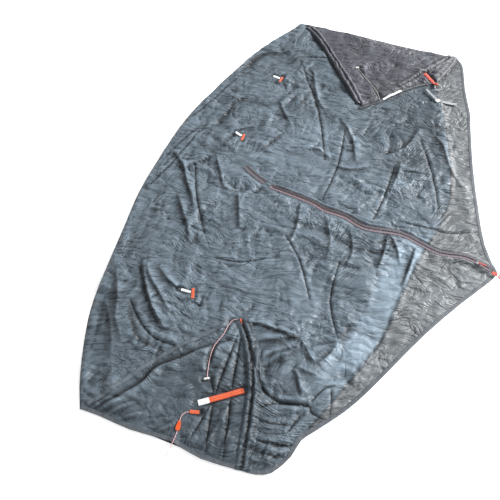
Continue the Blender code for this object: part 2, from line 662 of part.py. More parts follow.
def make_corner_webbing():
    direction = Vector((TAB_EYE[0] - TAB_START[0], TAB_EYE[1] - TAB_START[1]))
    run = direction.length
    along = direction.normalized()
    angle = math.degrees(math.atan2(along.y, along.x))
    flat = run - 0.024
    low = ON_FLAP
    profile = [(0.0, low), (flat, low), (flat, low + 0.0024), (0.0, low + 0.0024)]
    tab = side_profile("corner_tab", TAB_START, direction, profile, WEBBING_WIDTH, "red_webbing",
                       "head_flap")
    rise = [(flat - 0.004, low + 0.0004), (flat + 0.004, low + 0.0004),
            (run - 0.004, EYE_HEIGHT - 0.0014), (run - 0.001, EYE_HEIGHT + 0.0040),
            (run - 0.006, EYE_HEIGHT + 0.0024), (flat - 0.004, low + 0.0020)]
    neck = side_profile("corner_tab_neck", TAB_START, direction, rise, 0.012, "steel", "head_flap")
    across = turned_left(along)
    eye_place = (*TAB_EYE, EYE_HEIGHT)
    eye = helper_cylinder("corner_tab_eye", eye_place, (across.x, across.y, 0.0), EYE_OUTER,
                          0.0118, "head_flap")
    hole = helper_cylinder("corner_tab_hole", eye_place, (across.x, across.y, 0.0), EYE_INNER,
                           0.030, "head_flap")
    boolean(tab, neck, "UNION")
    boolean(tab, eye, "UNION")
    boolean(tab, hole, "DIFFERENCE")

    slope = math.radians(RING_SLOPE)
    centre = Vector((TAB_EYE[0] + along.x * RING_RADIUS * math.cos(slope),
                     TAB_EYE[1] + along.y * RING_RADIUS * math.cos(slope),
                     EYE_HEIGHT - RING_RADIUS * math.sin(slope)))
    place = (Matrix.Translation(centre) @ Matrix.Rotation(math.radians(angle), 4, "Z")
             @ Matrix.Rotation(slope, 4, "Y"))
    form = bmesh.new()
    rings = []
    for step in range(32):
        turn = 2 * math.pi * step / 32
        ring = []
        for part in range(10):
            spin = 2 * math.pi * part / 10
            reach = RING_RADIUS + RING_WIRE * math.cos(spin)
            ring.append(form.verts.new(place @ Vector((reach * math.cos(turn),
                                                       reach * math.sin(turn),
                                                       RING_WIRE * math.sin(spin)))))
        rings.append(ring)
    for index, one in enumerate(rings):
        two = rings[(index + 1) % len(rings)]
        for part in range(10):
            after = (part + 1) % 10
            form.faces.new((one[part], one[after], two[after], two[part]))
    add_mesh("corner_ring", form, "steel", "corner_ring", round_piece=True)


def make_ladder_strap():
    direction = Vector((LADDER_END[0] - LADDER_HINGE[0], LADDER_END[1] - LADDER_HINGE[1]))
    run = direction.length
    low = ON_FLAP
    top = low + 0.0014
    rib = low + 0.0022
    profile = [(0.0, low), (run, low), (run, top)]
    count = 10
    pitch = run / (count + 1)
    for index in range(count, 0, -1):
        middle = pitch * index
        profile += [(middle + pitch * 0.28, top), (middle + pitch * 0.20, rib),
                    (middle - pitch * 0.20, rib), (middle - pitch * 0.28, top)]
    profile.append((0.0, top))
    side_profile("ladder_strap", LADDER_HINGE, direction, profile, 0.012, "ladder_webbing",
                 "ladder_strap")
    along = direction.normalized()
    angle = math.degrees(math.atan2(along.y, along.x))
    centre = Vector(LADDER_END) + along * 0.0093
    form = bmesh.new()
    block(form, (centre.x, centre.y, low + 0.0010), (0.018, 0.020, 0.0046), angle)
    frame = add_mesh("ladder_buckle", form, "pale_plastic", "ladder_strap")
    for index, reach in enumerate((-0.0045, 0.0030)):
        slot = centre + along * reach
        cutter = helper_block("buckle_slot_%d" % (index + 1), (slot.x, slot.y, low + 0.001),
                              (0.0032, 0.014, 0.010), angle, "ladder_strap")
        boolean(frame, cutter, "DIFFERENCE")
    tail = Vector((TAIL_END[0] - TAIL_START[0], TAIL_END[1] - TAIL_START[1]))
    side_profile("strap_tail", TAIL_START, tail,
                 [(0.0, low), (tail.length, low), (tail.length, low + 0.0016),
                  (0.0, low + 0.0016)], 0.015, "ladder_webbing", "strap_tail")


def make_stake_loop():
    """The webbing tab on the foot half's tip, and the loop that a stake goes through."""
    direction = Vector(STAKE_DIRECTION)
    across = turned_left(direction)
    start = Vector(DOOR_TIP) - direction * (TIP_TAB_LENGTH - 0.001) - across * TIP_TAB_ASIDE
    top = ON_SKIN + 0.0016
    side_profile("tip_tab", start, direction,
                 [(0.0, ON_SKIN), (TIP_TAB_LENGTH, ON_SKIN), (TIP_TAB_LENGTH, top), (0.0, top)],
                 TIP_TAB_WIDTH, "red_webbing", "door_foot")
    base = pivots["stake_loop"][1]
    first = Vector((base.x, base.y)) + direction * STAKE_OUTER

    def in_space(x, y, side):
        place = first + direction * x + across * y
        return (place.x, place.y, base.z + side)

    racetrack_ring("stake_loop", in_space, STAKE_RUN, STAKE_OUTER, STAKE_INNER, 0.0030,
                   "red_webbing", "stake_loop")


def make_cords():
    cord("foot_tieback_cord", FOOT_CORD, "pale_cord")
    cord("head_tieback_cord", HEAD_CORD, "grey_cord", "head_flap")
    cord("foot_guy_cord", GUY_CORD, "pale_cord")
    cord("head_corner_cord", CORNER_CORD, "grey_cord")
    (place, angle) = FOOT_TOGGLE
    turned_toggle("foot_toggle", place, ON_SKIN + TOGGLE_RADIUS, angle, "pale_plastic")
    (place, angle) = HEAD_TOGGLE
    turned_toggle("head_toggle", place, ON_FLAP + TOGGLE_RADIUS, angle, "pale_plastic",
                  "head_flap")


clear_scene()
make_pivots()
make_cloth()
make_hems_and_seams()
make_zipper()
make_slider()
make_tie_outs()
make_foot_pieces()
make_tensioner()
make_corner_webbing()
make_ladder_strap()
make_stake_loop()
make_cords()
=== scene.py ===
"""Looks of the tent rainfly: crinkled cloth, hems, zipper, webbing, cords and metal.

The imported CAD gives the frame: +Z up, metres, floor at z = 0, +Y towards the head end.
Every panel of cloth is meshed inside its own outline and lifted by one shared height
function, so that neighbouring panels meet without a step. Hems, seams and tapes are
ribbons that follow the same heights.
"""
import math

import bmesh
import bpy
import numpy as np
from mathutils import Matrix, Vector
from mathutils.geometry import delaunay_2d_cdt
from mathutils.kdtree import KDTree


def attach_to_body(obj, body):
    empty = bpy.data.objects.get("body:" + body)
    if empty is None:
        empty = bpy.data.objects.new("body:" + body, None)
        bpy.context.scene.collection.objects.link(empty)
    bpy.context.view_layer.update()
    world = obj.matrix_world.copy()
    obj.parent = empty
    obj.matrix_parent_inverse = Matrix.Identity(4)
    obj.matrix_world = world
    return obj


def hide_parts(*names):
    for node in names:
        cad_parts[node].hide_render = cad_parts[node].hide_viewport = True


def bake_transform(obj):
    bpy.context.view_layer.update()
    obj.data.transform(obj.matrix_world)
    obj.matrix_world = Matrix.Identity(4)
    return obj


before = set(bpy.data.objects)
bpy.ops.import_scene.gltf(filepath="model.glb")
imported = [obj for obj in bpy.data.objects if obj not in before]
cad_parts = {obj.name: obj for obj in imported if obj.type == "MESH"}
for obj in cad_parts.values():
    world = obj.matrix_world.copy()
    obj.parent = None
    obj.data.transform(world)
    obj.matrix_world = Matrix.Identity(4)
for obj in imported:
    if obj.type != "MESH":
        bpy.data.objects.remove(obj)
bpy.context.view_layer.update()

# ---------------------------------------------------------------- sizes and places

# Camera, at the viewing angle of a person who stands at the foot of the cloth
CAMERA_PLACE = (-0.250, -1.610, 1.600)
CAMERA_TILT = 38.0
CAMERA_LENS = 40.3
SENSOR_WIDTH = 36.0

# The white floor and the light around it
FLOOR_REACH = 9.0
FLOOR_GLOW = 0.46
WORLD_STRENGTH = 0.38

# Heights above the floor: what lies on the canopy and the flap, then the cloth itself
ON_SKIN = 0.0093
ON_FLAP = 0.0143
SKIN_REST = 0.0090
SKIN_FREE = 0.0120
SINGLE_LAYER = 0.0050
FLAP_REST = 0.0139
CLOTH_LOWEST = 0.0009
LEFT_FOLD_LOW = 0.0016
HEAD_FOLD_LOW = 0.0042
FLAP_EDGE_LOW = 0.0112
FLAP_LOWEST = 0.0106
FLAP_FOLD_LOW = 0.0046
BAND_HIGHEST = 0.0375

# Spacing of the points of the canopy, the smaller panels and the rear wall
MESH_STEP = 0.0044
SMALL_STEP = 0.0036
REAR_STEP = 0.0120
ROW_SHARE = 0.866

# Bands on the cloth: how far the top lies above the cloth, and how thick the band is
HEM = (0.0009, 0.0014)
REAR_HEM = (0.0009, 0.0012)
FELLED_SEAM = (0.0016, 0.0022)
STRIP = (0.0024, 0.0016)
ZIP_TAPE = (0.0010, 0.0008)
PATCH = (0.0012, 0.0014)
PATCH_FOLD = (0.0013, 0.0014)
TIE_OUT_TAB = (0.0018, 0.0018)
FOOT_TABS = (0.0020, 0.0020)
TIP_TAB = (0.0013, 0.0014)
WEBBING_THICK = 0.0018
SLEEVE_THICK = 0.0026
TAIL_THICK = 0.0014

# Corners and outlines of the cloth, in plan
HEAD_TOP = (0.040, 1.148)
HEAD_CORNER = (0.775, 0.830)
DOOR_TIP = (0.615, -0.471)
HEAD_HINGE = [(-0.185, -0.020), (0.720, 0.350)]
FOOT_HINGE = [(-0.190, -0.040), (-0.070, -1.032)]
LEFT_FOLD = [(-0.755, -0.960), (-0.775, -0.850), (-0.785, -0.690), (-0.780, -0.575),
             (-0.760, -0.450), (-0.720, -0.240), (-0.685, -0.060), (-0.610, 0.175),
             (-0.520, 0.405), (-0.345, 0.705), (-0.200, 0.916), (-0.003, 1.130)]
CANOPY_SIDE = [(0.775, 0.830), (0.785, 0.765), (0.754, 0.590), (0.733, 0.405), (0.720, 0.350)]
DOOR_SIDE = [(0.720, 0.350), (0.660, 0.055), (0.626, -0.165), (0.606, -0.335), (0.615, -0.471)]
DOOR_HEM = [(0.615, -0.471), (0.583, -0.502), (0.457, -0.595), (0.317, -0.710),
            (0.203, -0.816), (0.114, -0.900), (0.031, -0.968), (-0.070, -1.032)]
CANOPY_FOOT = [(-0.070, -1.032), (-0.105, -1.055), (-0.135, -1.100), (-0.189, -1.143),
               (-0.235, -1.148), (-0.276, -1.138)]
GATHER_LINE = [(-0.276, -1.138), (-0.262, -1.050), (-0.248, -0.950), (-0.243, -0.880),
               (-0.248, -0.790), (-0.262, -0.715), (-0.285, -0.655)]
END_HEM = [(-0.755, -0.960), (-0.692, -0.982), (-0.598, -1.022), (-0.479, -1.057),
           (-0.390, -1.105), (-0.276, -1.138)]
END_SEAM = [(-0.285, -0.655), (-0.442, -0.738), (-0.562, -0.812), (-0.672, -0.908),
            (-0.755, -0.960)]
ZIP_LINE = [(-0.187, -0.031), (-0.151, -0.059), (-0.017, -0.129), (0.037, -0.172),
            (0.111, -0.206), (0.179, -0.262), (0.305, -0.290), (0.371, -0.337),
            (0.434, -0.381), (0.521, -0.398), (0.581, -0.441), (0.615, -0.471)]
REAR_EDGE = [(0.660, 0.865), (0.615, 0.550), (0.600, 0.300), (0.530, -0.113), (0.373, -0.383),
             (0.258, -0.575), (0.166, -0.746), (0.005, -0.931), (-0.080, -1.022)]
REAR_FOOT = [(-0.080, -1.022), (-0.150, -1.105), (-0.250, -1.138), (-0.390, -1.095),
             (-0.600, -1.012), (-0.750, -0.950)]
FLAP_HEM = [(0.245, 0.433), (0.357, 0.491), (0.454, 0.558), (0.545, 0.602), (0.625, 0.618)]
FLAP_SIDE = [(0.625, 0.618), (0.700, 0.715), (0.775, 0.830)]
FLAP_SEAM = [(0.040, 1.148), (0.100, 1.000), (0.140, 0.850), (0.195, 0.640), (0.250, 0.470),
             (0.245, 0.433)]
SEAM_ROLL = [(0.060, 1.105), (0.110, 0.985), (0.150, 0.850), (0.205, 0.640), (0.250, 0.470)]
SECOND_ROLL = [(0.755, 0.845), (0.600, 0.715), (0.455, 0.600)]
FLAP_STRIP = [(0.356, 0.4985), (0.404, 0.5315), (0.448, 0.5620)]
END_PATCH = [(-0.268, 0.064), (-0.235, 0.020), (-0.1905, -0.0275)]

# Webbing, in plan: tabs with their angles, lengths and widths, then straps by their ends
TIE_OUTS = {"a": ((-0.103, 0.655), 68.0), "b": ((-0.280, 0.244), 74.0),
            "c": ((-0.444, -0.555), 90.0)}
FOOT_TAB = ((-0.2785, -0.6700), 86.0, 0.030, 0.010)
FOOT_CORNER_TAB = ((-0.4130, -0.9725), 175.0, 0.028, 0.011)
STRAP_HINGE = (-0.268, -0.905)
STRAP_END = (-0.404, -0.945)
STRAP_SLEEVE = 0.034
CORNER_TAB = ((0.583, 0.697), (0.618, 0.598))
STRAP_TAIL = ((0.6185, 0.4795), (0.681, 0.458))
TIE_OUT_LENGTH = 0.040
TIE_OUT_WIDTH = 0.010
WEBBING_WIDTH = 0.018
SLIDER_REST = (0.5556, -0.4311)
SLIDER_OPEN = (-0.1285, -0.0786)
TOGGLE_LENGTH = 0.018
TOGGLE_RADIUS = 0.0040
FOOT_TOGGLE = ((-0.3825, -0.8680), 12.0)
HEAD_TOGGLE = ((0.2660, 0.7385), 25.0)

# Routes of the free cords, from where they leave the cloth to their far ends
CORD_RADIUS = 0.0011
FOOT_CORD = [(-0.2905, -0.6600, 0.0106), (-0.3000, -0.6580, 0.0106), (-0.3100, -0.6640, 0.0108),
             (-0.3180, -0.6760, 0.0108), (-0.3260, -0.6920, 0.0108), (-0.3340, -0.7100, 0.0108),
             (-0.3440, -0.7260, 0.0108), (-0.3560, -0.7420, 0.0106), (-0.3660, -0.7600, 0.0106),
             (-0.3720, -0.7800, 0.0106), (-0.3760, -0.8000, 0.0106), (-0.3785, -0.8200, 0.0106),
             (-0.3800, -0.8380, 0.0106), (-0.3810, -0.8530, 0.0110), (-0.3815, -0.8632, 0.0128)]
HEAD_CORD = [(0.3360, 0.4960, 0.0156), (0.3390, 0.5040, 0.0156), (0.3400, 0.5160, 0.0156),
             (0.3385, 0.5300, 0.0156), (0.3355, 0.5460, 0.0156), (0.3315, 0.5640, 0.0156),
             (0.3265, 0.5820, 0.0156), (0.3200, 0.6000, 0.0156), (0.3130, 0.6160, 0.0156),
             (0.3065, 0.6320, 0.0156), (0.3000, 0.6500, 0.0156), (0.2930, 0.6700, 0.0156),
             (0.2860, 0.6900, 0.0156), (0.2790, 0.7080, 0.0156), (0.2730, 0.7230, 0.0160),
             (0.2690, 0.7330, 0.0176)]
GUY_CORD = [(-0.4285, -0.9722, 0.0106), (-0.4370, -0.9735, 0.0108), (-0.4450, -0.9780, 0.0112),
            (-0.4505, -0.9850, 0.0116), (-0.4532, -0.9930, 0.0118), (-0.4550, -1.0030, 0.0118),
            (-0.4568, -1.0130, 0.0118), (-0.4586, -1.0230, 0.0118), (-0.4604, -1.0330, 0.0118),
            (-0.4630, -1.0430, 0.0124), (-0.4670, -1.0540, 0.0124), (-0.4715, -1.0650, 0.0100),
            (-0.4765, -1.0760, 0.0052), (-0.4820, -1.0870, 0.0018), (-0.4880, -1.0970, 0.0014)]
CORNER_CORD = [(0.7805, 0.8360, 0.0080), (0.7860, 0.8420, 0.0066), (0.7930, 0.8460, 0.0044),
               (0.8020, 0.8470, 0.0024), (0.8110, 0.8430, 0.0015), (0.8180, 0.8340, 0.0014),
               (0.8220, 0.8220, 0.0014), (0.8235, 0.8080, 0.0014), (0.8220, 0.7940, 0.0014),
               (0.8175, 0.7800, 0.0014), (0.8115, 0.7660, 0.0014), (0.8050, 0.7530, 0.0014),
               (0.7985, 0.7410, 0.0018), (0.7925, 0.7310, 0.0030), (0.7870, 0.7230, 0.0046),
               (0.7820, 0.7160, 0.0060)]

# Bends: how far the cloth beside a fold line takes to turn with the panel it belongs to
BENDS = {"door_head": ((*HEAD_HINGE[0], SKIN_REST), (0.378, -0.926), 0.060),
         "door_foot": ((*FOOT_HINGE[0], SKIN_REST), (0.993, 0.120), 0.060),
         "head_flap": ((*HEAD_TOP, ON_SKIN), (-0.394, -0.919), 0.045)}

# Named folds of the canopy: points, height, width of the steep side, width of the soft side.
# The soft side lies to the left of the way the points run.
FOLDS = [
    ([(-0.300, -0.735), (-0.395, -0.770), (-0.470, -0.805), (-0.535, -0.830), (-0.580, -0.885),
      (-0.650, -0.935), (-0.695, -0.955)], 0.0110, 0.005, 0.030),
    ([(-0.545, -0.765), (-0.610, -0.740), (-0.640, -0.675), (-0.665, -0.600)], 0.0080, 0.006, 0.035),
    ([(-0.630, -0.415), (-0.615, -0.490), (-0.590, -0.575), (-0.560, -0.640), (-0.525, -0.690)],
     0.0090, 0.006, 0.024),
    ([(-0.615, -0.430), (-0.595, -0.490), (-0.565, -0.540), (-0.515, -0.630)], 0.0060, 0.005, 0.018),
    ([(-0.730, -0.415), (-0.710, -0.490), (-0.695, -0.585), (-0.690, -0.655), (-0.655, -0.745)],
     0.0060, 0.012, 0.030),
    ([(-0.570, -0.440), (-0.530, -0.500), (-0.490, -0.540)], 0.0055, 0.006, 0.020),
    ([(-0.570, 0.160), (-0.520, 0.065), (-0.500, -0.025), (-0.475, -0.105), (-0.465, -0.165)],
     0.0075, 0.006, 0.026),
    ([(-0.530, -0.095), (-0.505, -0.180), (-0.480, -0.265), (-0.470, -0.335)], 0.0065, 0.006, 0.025),
    ([(-0.520, 0.045), (-0.495, 0.070), (-0.455, 0.100), (-0.400, 0.140)], 0.0060, 0.005, 0.018),
    ([(-0.295, -0.090), (-0.292, -0.180), (-0.290, -0.265)], 0.0055, 0.005, 0.020),
    ([(-0.390, 0.140), (-0.365, 0.010), (-0.345, -0.060), (-0.290, -0.070)], 0.0055, 0.005, 0.022),
    ([(0.370, 0.090), (0.340, 0.005), (0.295, -0.095)], 0.0060, 0.006, 0.024),
    ([(0.535, 0.305), (0.560, 0.175), (0.565, 0.045), (0.590, -0.060)], 0.0050, 0.006, 0.022),
    ([(-0.275, -0.660), (-0.210, -0.680), (-0.120, -0.715), (-0.090, -0.720)], 0.0070, 0.005, 0.026),
    ([(-0.250, -0.745), (-0.210, -0.735), (-0.155, -0.730), (-0.100, -0.720)], 0.0050, 0.005, 0.018),
    ([(-0.225, -0.815), (-0.185, -0.780), (-0.090, -0.755)], 0.0045, 0.004, 0.014),
    ([(-0.205, -0.825), (-0.170, -0.800), (-0.090, -0.765)], 0.0040, 0.004, 0.012),
    ([(-0.090, -0.730), (-0.070, -0.770), (-0.055, -0.810), (-0.025, -0.805)], 0.0050, 0.005, 0.016),
    ([(0.030, -0.745), (-0.010, -0.755), (-0.055, -0.765)], 0.0050, 0.005, 0.014),
    ([(0.030, -0.745), (0.060, -0.690), (0.085, -0.660)], 0.0050, 0.005, 0.014),
    ([(0.030, -0.745), (0.000, -0.790), (-0.040, -0.820)], 0.0050, 0.005, 0.014),
    ([(-0.115, -0.835), (-0.105, -0.860), (-0.095, -0.925)], 0.0050, 0.004, 0.014),
    ([(-0.105, -0.830), (-0.080, -0.845), (-0.045, -0.855)], 0.0050, 0.004, 0.014),
    ([(0.350, -0.360), (0.310, -0.450), (0.270, -0.535)], 0.0070, 0.004, 0.026),
    ([(0.260, -0.285), (0.235, -0.370), (0.195, -0.460)], 0.0055, 0.004, 0.020),
    ([(0.260, -0.285), (0.280, -0.360), (0.280, -0.430)], 0.0050, 0.004, 0.018),
    ([(0.120, -0.275), (0.120, -0.370), (0.085, -0.450)], 0.0045, 0.004, 0.020),
    ([(-0.055, -0.140), (-0.075, -0.255), (-0.105, -0.335)], 0.0040, 0.004, 0.020),
    ([(0.035, -0.190), (0.045, -0.315), (0.020, -0.415)], 0.0045, 0.005, 0.020),
    ([(-0.445, 0.270), (-0.360, 0.405), (-0.320, 0.490), (-0.260, 0.530)], 0.0065, 0.007, 0.026),
    ([(-0.305, 0.695), (-0.260, 0.780), (-0.215, 0.855)], 0.0060, 0.006, 0.022),
    ([(-0.275, 0.760), (-0.190, 0.865), (-0.075, 0.880), (-0.050, 0.925)], 0.0060, 0.008, 0.028),
    ([(-0.060, 0.780), (-0.015, 0.820), (0.020, 0.845)], 0.0060, 0.005, 0.016),
    ([(0.055, 0.745), (0.055, 0.625), (0.060, 0.515), (0.095, 0.385)], 0.0055, 0.006, 0.020),
    ([(-0.210, 0.150), (-0.165, 0.210), (-0.115, 0.275)], 0.0065, 0.005, 0.018),
    ([(-0.045, 0.425), (0.005, 0.530), (0.040, 0.575)], 0.0060, 0.005, 0.018),
    ([(-0.115, 0.490), (-0.095, 0.405), (-0.070, 0.325)], 0.0060, 0.006, 0.018),
    ([(-0.025, 0.160), (0.025, 0.175), (0.080, 0.115)], 0.0050, 0.006, 0.020),
    ([(-0.385, 0.175), (-0.315, 0.285), (-0.230, 0.315)], 0.0055, 0.006, 0.020),
    ([(0.150, 0.370), (0.185, 0.240), (0.185, 0.085)], 0.0060, 0.006, 0.026),
    ([(0.080, 0.085), (0.155, 0.045), (0.250, 0.065)], 0.0045, 0.006, 0.022),
    ([(0.490, 0.305), (0.405, 0.175), (0.290, 0.115)], 0.0050, 0.006, 0.026),
    ([(-0.740, -0.575), (-0.700, -0.690), (-0.685, -0.800)], 0.0045, 0.008, 0.026),
]

# Valleys: points, depth and width
VALLEYS = [
    ([(-0.214, -0.006), (-0.190, -0.029), (-0.166, -0.049), (-0.140, -0.066)], 0.0040, 0.006),
    ([(-0.245, -0.770), (-0.230, -0.850), (-0.215, -0.900), (-0.175, -0.935), (-0.130, -0.950),
      (-0.075, -0.955)], 0.0080, 0.007),
    ([(-0.075, -0.955), (-0.065, -0.980), (-0.015, -1.000)], 0.0060, 0.008),
    ([(-0.005, -0.900), (-0.010, -0.955), (-0.020, -1.000)], 0.0040, 0.005),
    ([(-0.070, -0.945), (-0.030, -0.905), (0.010, -0.890)], 0.0045, 0.005),
    ([(-0.225, -0.960), (-0.160, -0.945), (-0.075, -0.955)], 0.0060, 0.006),
    ([(-0.225, -1.000), (-0.175, -1.010), (-0.130, -1.015)], 0.0040, 0.006),
    ([(-0.245, -1.050), (-0.185, -1.070), (-0.120, -1.070)], 0.0060, 0.006),
    ([(-0.105, -0.985), (-0.130, -1.020), (-0.145, -1.040)], 0.0045, 0.005),
    ([(0.020, 0.840), (0.080, 0.832), (0.140, 0.830)], 0.0065, 0.006),
    ([(0.330, -0.244), (0.419, -0.268), (0.496, -0.287), (0.602, -0.278)], 0.0045, 0.006),
    ([(-0.289, -0.715), (-0.336, -0.854), (-0.362, -0.965), (-0.376, -1.096)], 0.0060, 0.006),
    ([(-0.279, -0.726), (-0.302, -0.870), (-0.314, -0.996), (-0.328, -1.116)], 0.0070, 0.007),
    ([(-0.654, -0.581), (-0.610, -0.666), (-0.555, -0.726), (-0.488, -0.754)], 0.0060, 0.007),
    ([(-0.373, -0.844), (-0.363, -0.934), (-0.421, -1.054)], 0.0050, 0.006),
    ([(-0.212, -0.768), (-0.225, -0.854), (-0.202, -0.919)], 0.0045, 0.005),
    ([(-0.515, 0.373), (-0.440, 0.470), (-0.366, 0.591), (-0.290, 0.690)], 0.0026, 0.005),
    ([(-0.602, 0.116), (-0.560, 0.190), (-0.488, 0.292)], 0.0030, 0.005),
    ([(-0.646, -0.040), (-0.559, 0.104), (-0.467, 0.292)], 0.0045, 0.006),
    ([(-0.375, -0.403), (-0.285, -0.421), (-0.161, -0.403)], 0.0040, 0.005),
    ([(-0.121, -0.297), (-0.073, -0.421), (-0.048, -0.581)], 0.0045, 0.005),
    ([(0.070, -0.412), (0.020, -0.581), (0.032, -0.733)], 0.0040, 0.005),
    ([(-0.005, 0.816), (0.055, 0.429), (0.059, 0.104)], 0.0050, 0.007),
    ([(0.161, 0.292), (0.110, 0.074), (0.029, -0.121)], 0.0045, 0.006),
    ([(0.343, 0.074), (0.277, -0.094), (0.208, -0.234)], 0.0050, 0.006),
    ([(0.474, 0.228), (0.483, 0.016), (0.470, -0.199)], 0.0045, 0.006),
    ([(-0.475, 0.074), (-0.455, -0.121), (-0.416, -0.297)], 0.0055, 0.007),
]

# Pleats that fan out from the gathered foot corners: start, end, height, half width
PLEATS = [
    ((-0.740, -0.970), (-0.650, -0.915), 0.0060, 0.007),
    ((-0.720, -0.975), (-0.600, -0.920), 0.0065, 0.008),
    ((-0.690, -0.985), (-0.565, -0.930), 0.0060, 0.008),
    ((-0.655, -0.995), (-0.520, -0.965), 0.0055, 0.008),
    ((-0.540, -1.035), (-0.440, -0.995), 0.0050, 0.008),
    ((-0.390, -1.095), (-0.325, -0.985), 0.0060, 0.008),
    ((-0.335, -1.115), (-0.300, -0.990), 0.0060, 0.007),
    ((-0.215, -1.115), (-0.155, -1.080), 0.0055, 0.006),
    ((-0.215, -1.115), (-0.160, -1.128), 0.0050, 0.005),
    ((-0.215, -1.115), (-0.185, -1.045), 0.0050, 0.006),
]

# Puckers, where small wrinkles run out from one point: place, reach, height, number of rays
PUCKERS = [
    ((-0.085, -0.725), 0.110, 0.0045, 9),
    ((0.030, -0.745), 0.100, 0.0040, 8),
    ((-0.075, -0.955), 0.090, 0.0040, 7),
    ((-0.215, -1.115), 0.080, 0.0040, 8),
    ((0.262, -0.290), 0.120, 0.0045, 10),
    ((-0.275, -0.660), 0.120, 0.0040, 9),
    ((-0.444, -0.555), 0.100, 0.0035, 9),
    ((-0.280, 0.244), 0.090, 0.0030, 8),
    ((-0.103, 0.655), 0.080, 0.0030, 8),
    ((-0.330, 0.720), 0.070, 0.0030, 8),
    ((-0.500, 0.070), 0.090, 0.0035, 8),
]

# ---------------------------------------------------------------- lines and distances


def smoothstep(value, low, high):
    share = np.clip((value - low) / (high - low), 0.0, 1.0)
    return share * share * (3 - 2 * share)


def curve(points, pieces=3):
    """Catmull-Rom curve through the points, each span cut into equal pieces."""
    knots = np.array(points, float)
    padded = np.vstack([2 * knots[0] - knots[1], knots, 2 * knots[-1] - knots[-2]])
    line = []
    for before, start, end, after in zip(padded, padded[1:], padded[2:], padded[3:]):
        for step in range(pieces):
            t = step / pieces
            line.append(0.5 * (2 * start + (end - before) * t
                               + (2 * before - 5 * start + 4 * end - after) * t * t
                               + (3 * start - before - 3 * end + after) * t ** 3))
    line.append(knots[-1])
    return np.array(line)


def even(line, step):
    """The same line with every span cut into pieces of about one length."""
    points = []
    for start, end in zip(line[:-1], line[1:]):
        count = max(1, math.ceil(np.linalg.norm(end - start) / step - 1e-6))
        for index in range(count):
            points.append(start + (end - start) * index / count)
    points.append(line[-1])
    return np.array(points)


def join_lines(*lines):
    """One closed outline, without a repeated last point, from lines that meet at their ends."""
    outline = []
    for line in lines:
        for point in np.asarray(line, float):
            if not outline or np.linalg.norm(point - outline[-1]) > 1e-5:
                outline.append(point)
    if np.linalg.norm(outline[0] - outline[-1]) < 1e-5:
        outline.pop()
    return np.array(outline)


def inside(x, y, outline):
    """Which points lie inside a closed outline."""
    result = np.zeros(x.shape, bool)
    for start, end in zip(outline, np.roll(outline, -1, axis=0)):
        if start[1] == end[1]:
            continue
        spans = (start[1] > y) != (end[1] > y)
        crossing = (end[0] - start[0]) * (y - start[1]) / (end[1] - start[1]) + start[0]
        result ^= spans & (x < crossing)
    return result


def lengths_along(line):
    """How far each point of a line is from its start, along the line."""
    return np.concatenate([[0.0], np.cumsum(np.linalg.norm(np.diff(line, axis=0), axis=1))])


def measure(x, y, line):
    """Distance to a line, the side (left is positive) and the share of its length."""
    line = np.asarray(line, float)
    spans = np.linalg.norm(np.diff(line, axis=0), axis=1)
    walked = lengths_along(line)
    distance = np.full(x.shape, 1e9)
    side = np.ones(x.shape)
    share = np.zeros(x.shape)
    for start, end, span, before in zip(line, line[1:], spans, walked):
        if span == 0:
            continue
        run = (end - start) / span
        along = np.clip((x - start[0]) * run[0] + (y - start[1]) * run[1], 0.0, span)
        off_x = x - start[0] - run[0] * along
        off_y = y - start[1] - run[1] * along
        reach = np.hypot(off_x, off_y)
        closer = reach < distance
        distance = np.where(closer, reach, distance)
        side = np.where(closer, np.sign(run[0] * off_y - run[1] * off_x), side)
        share = np.where(closer, (before + along) / walked[-1], share)
    return distance, side, share


def close_to(x, y, line, reach):
    """Indices of the points within reach of a line's box, which saves most of the work."""
    line = np.asarray(line, float)
    low = line.min(axis=0) - reach
    high = line.max(axis=0) + reach
    return np.nonzero((x > low[0]) & (x < high[0]) & (y > low[1]) & (y < high[1]))[0]


def points_near(x, y, line, reach):
    """Indices of the points close to a line, and what measure says of them."""
    chosen = close_to(x, y, line, reach)
    return (chosen, *measure(x[chosen], y[chosen], line))


def tapered(share, power):
    """1 along most of a line and 0 at both of its ends."""
    return np.clip(4 * share * (1 - share), 0.0, 1.0) ** power


class GradientNoise:
    """Gradient noise on a wrapped grid, about -0.7 to 0.7, the same for the same seed."""

    CELLS = 128

    def __init__(self, seed):
        turn = np.random.default_rng(seed).random((self.CELLS, self.CELLS)) * 2 * np.pi
        self.slope_x = np.cos(turn)
        self.slope_y = np.sin(turn)

    def __call__(self, x, y):
        cell_x = np.floor(x).astype(int)
        cell_y = np.floor(y).astype(int)
        part_x = x - cell_x
        part_y = y - cell_y

        def corner(right, up):
            column = (cell_x + right) % self.CELLS
            row = (cell_y + up) % self.CELLS
            return (self.slope_x[column, row] * (part_x - right)
                    + self.slope_y[column, row] * (part_y - up))

        blend_x = part_x ** 3 * (part_x * (6 * part_x - 15) + 10)
        blend_y = part_y ** 3 * (part_y * (6 * part_y - 15) + 10)
        lower = corner(0, 0) * (1 - blend_x) + corner(1, 0) * blend_x
        upper = corner(0, 1) * (1 - blend_x) + corner(1, 1) * blend_x
        return lower * (1 - blend_y) + upper * blend_y


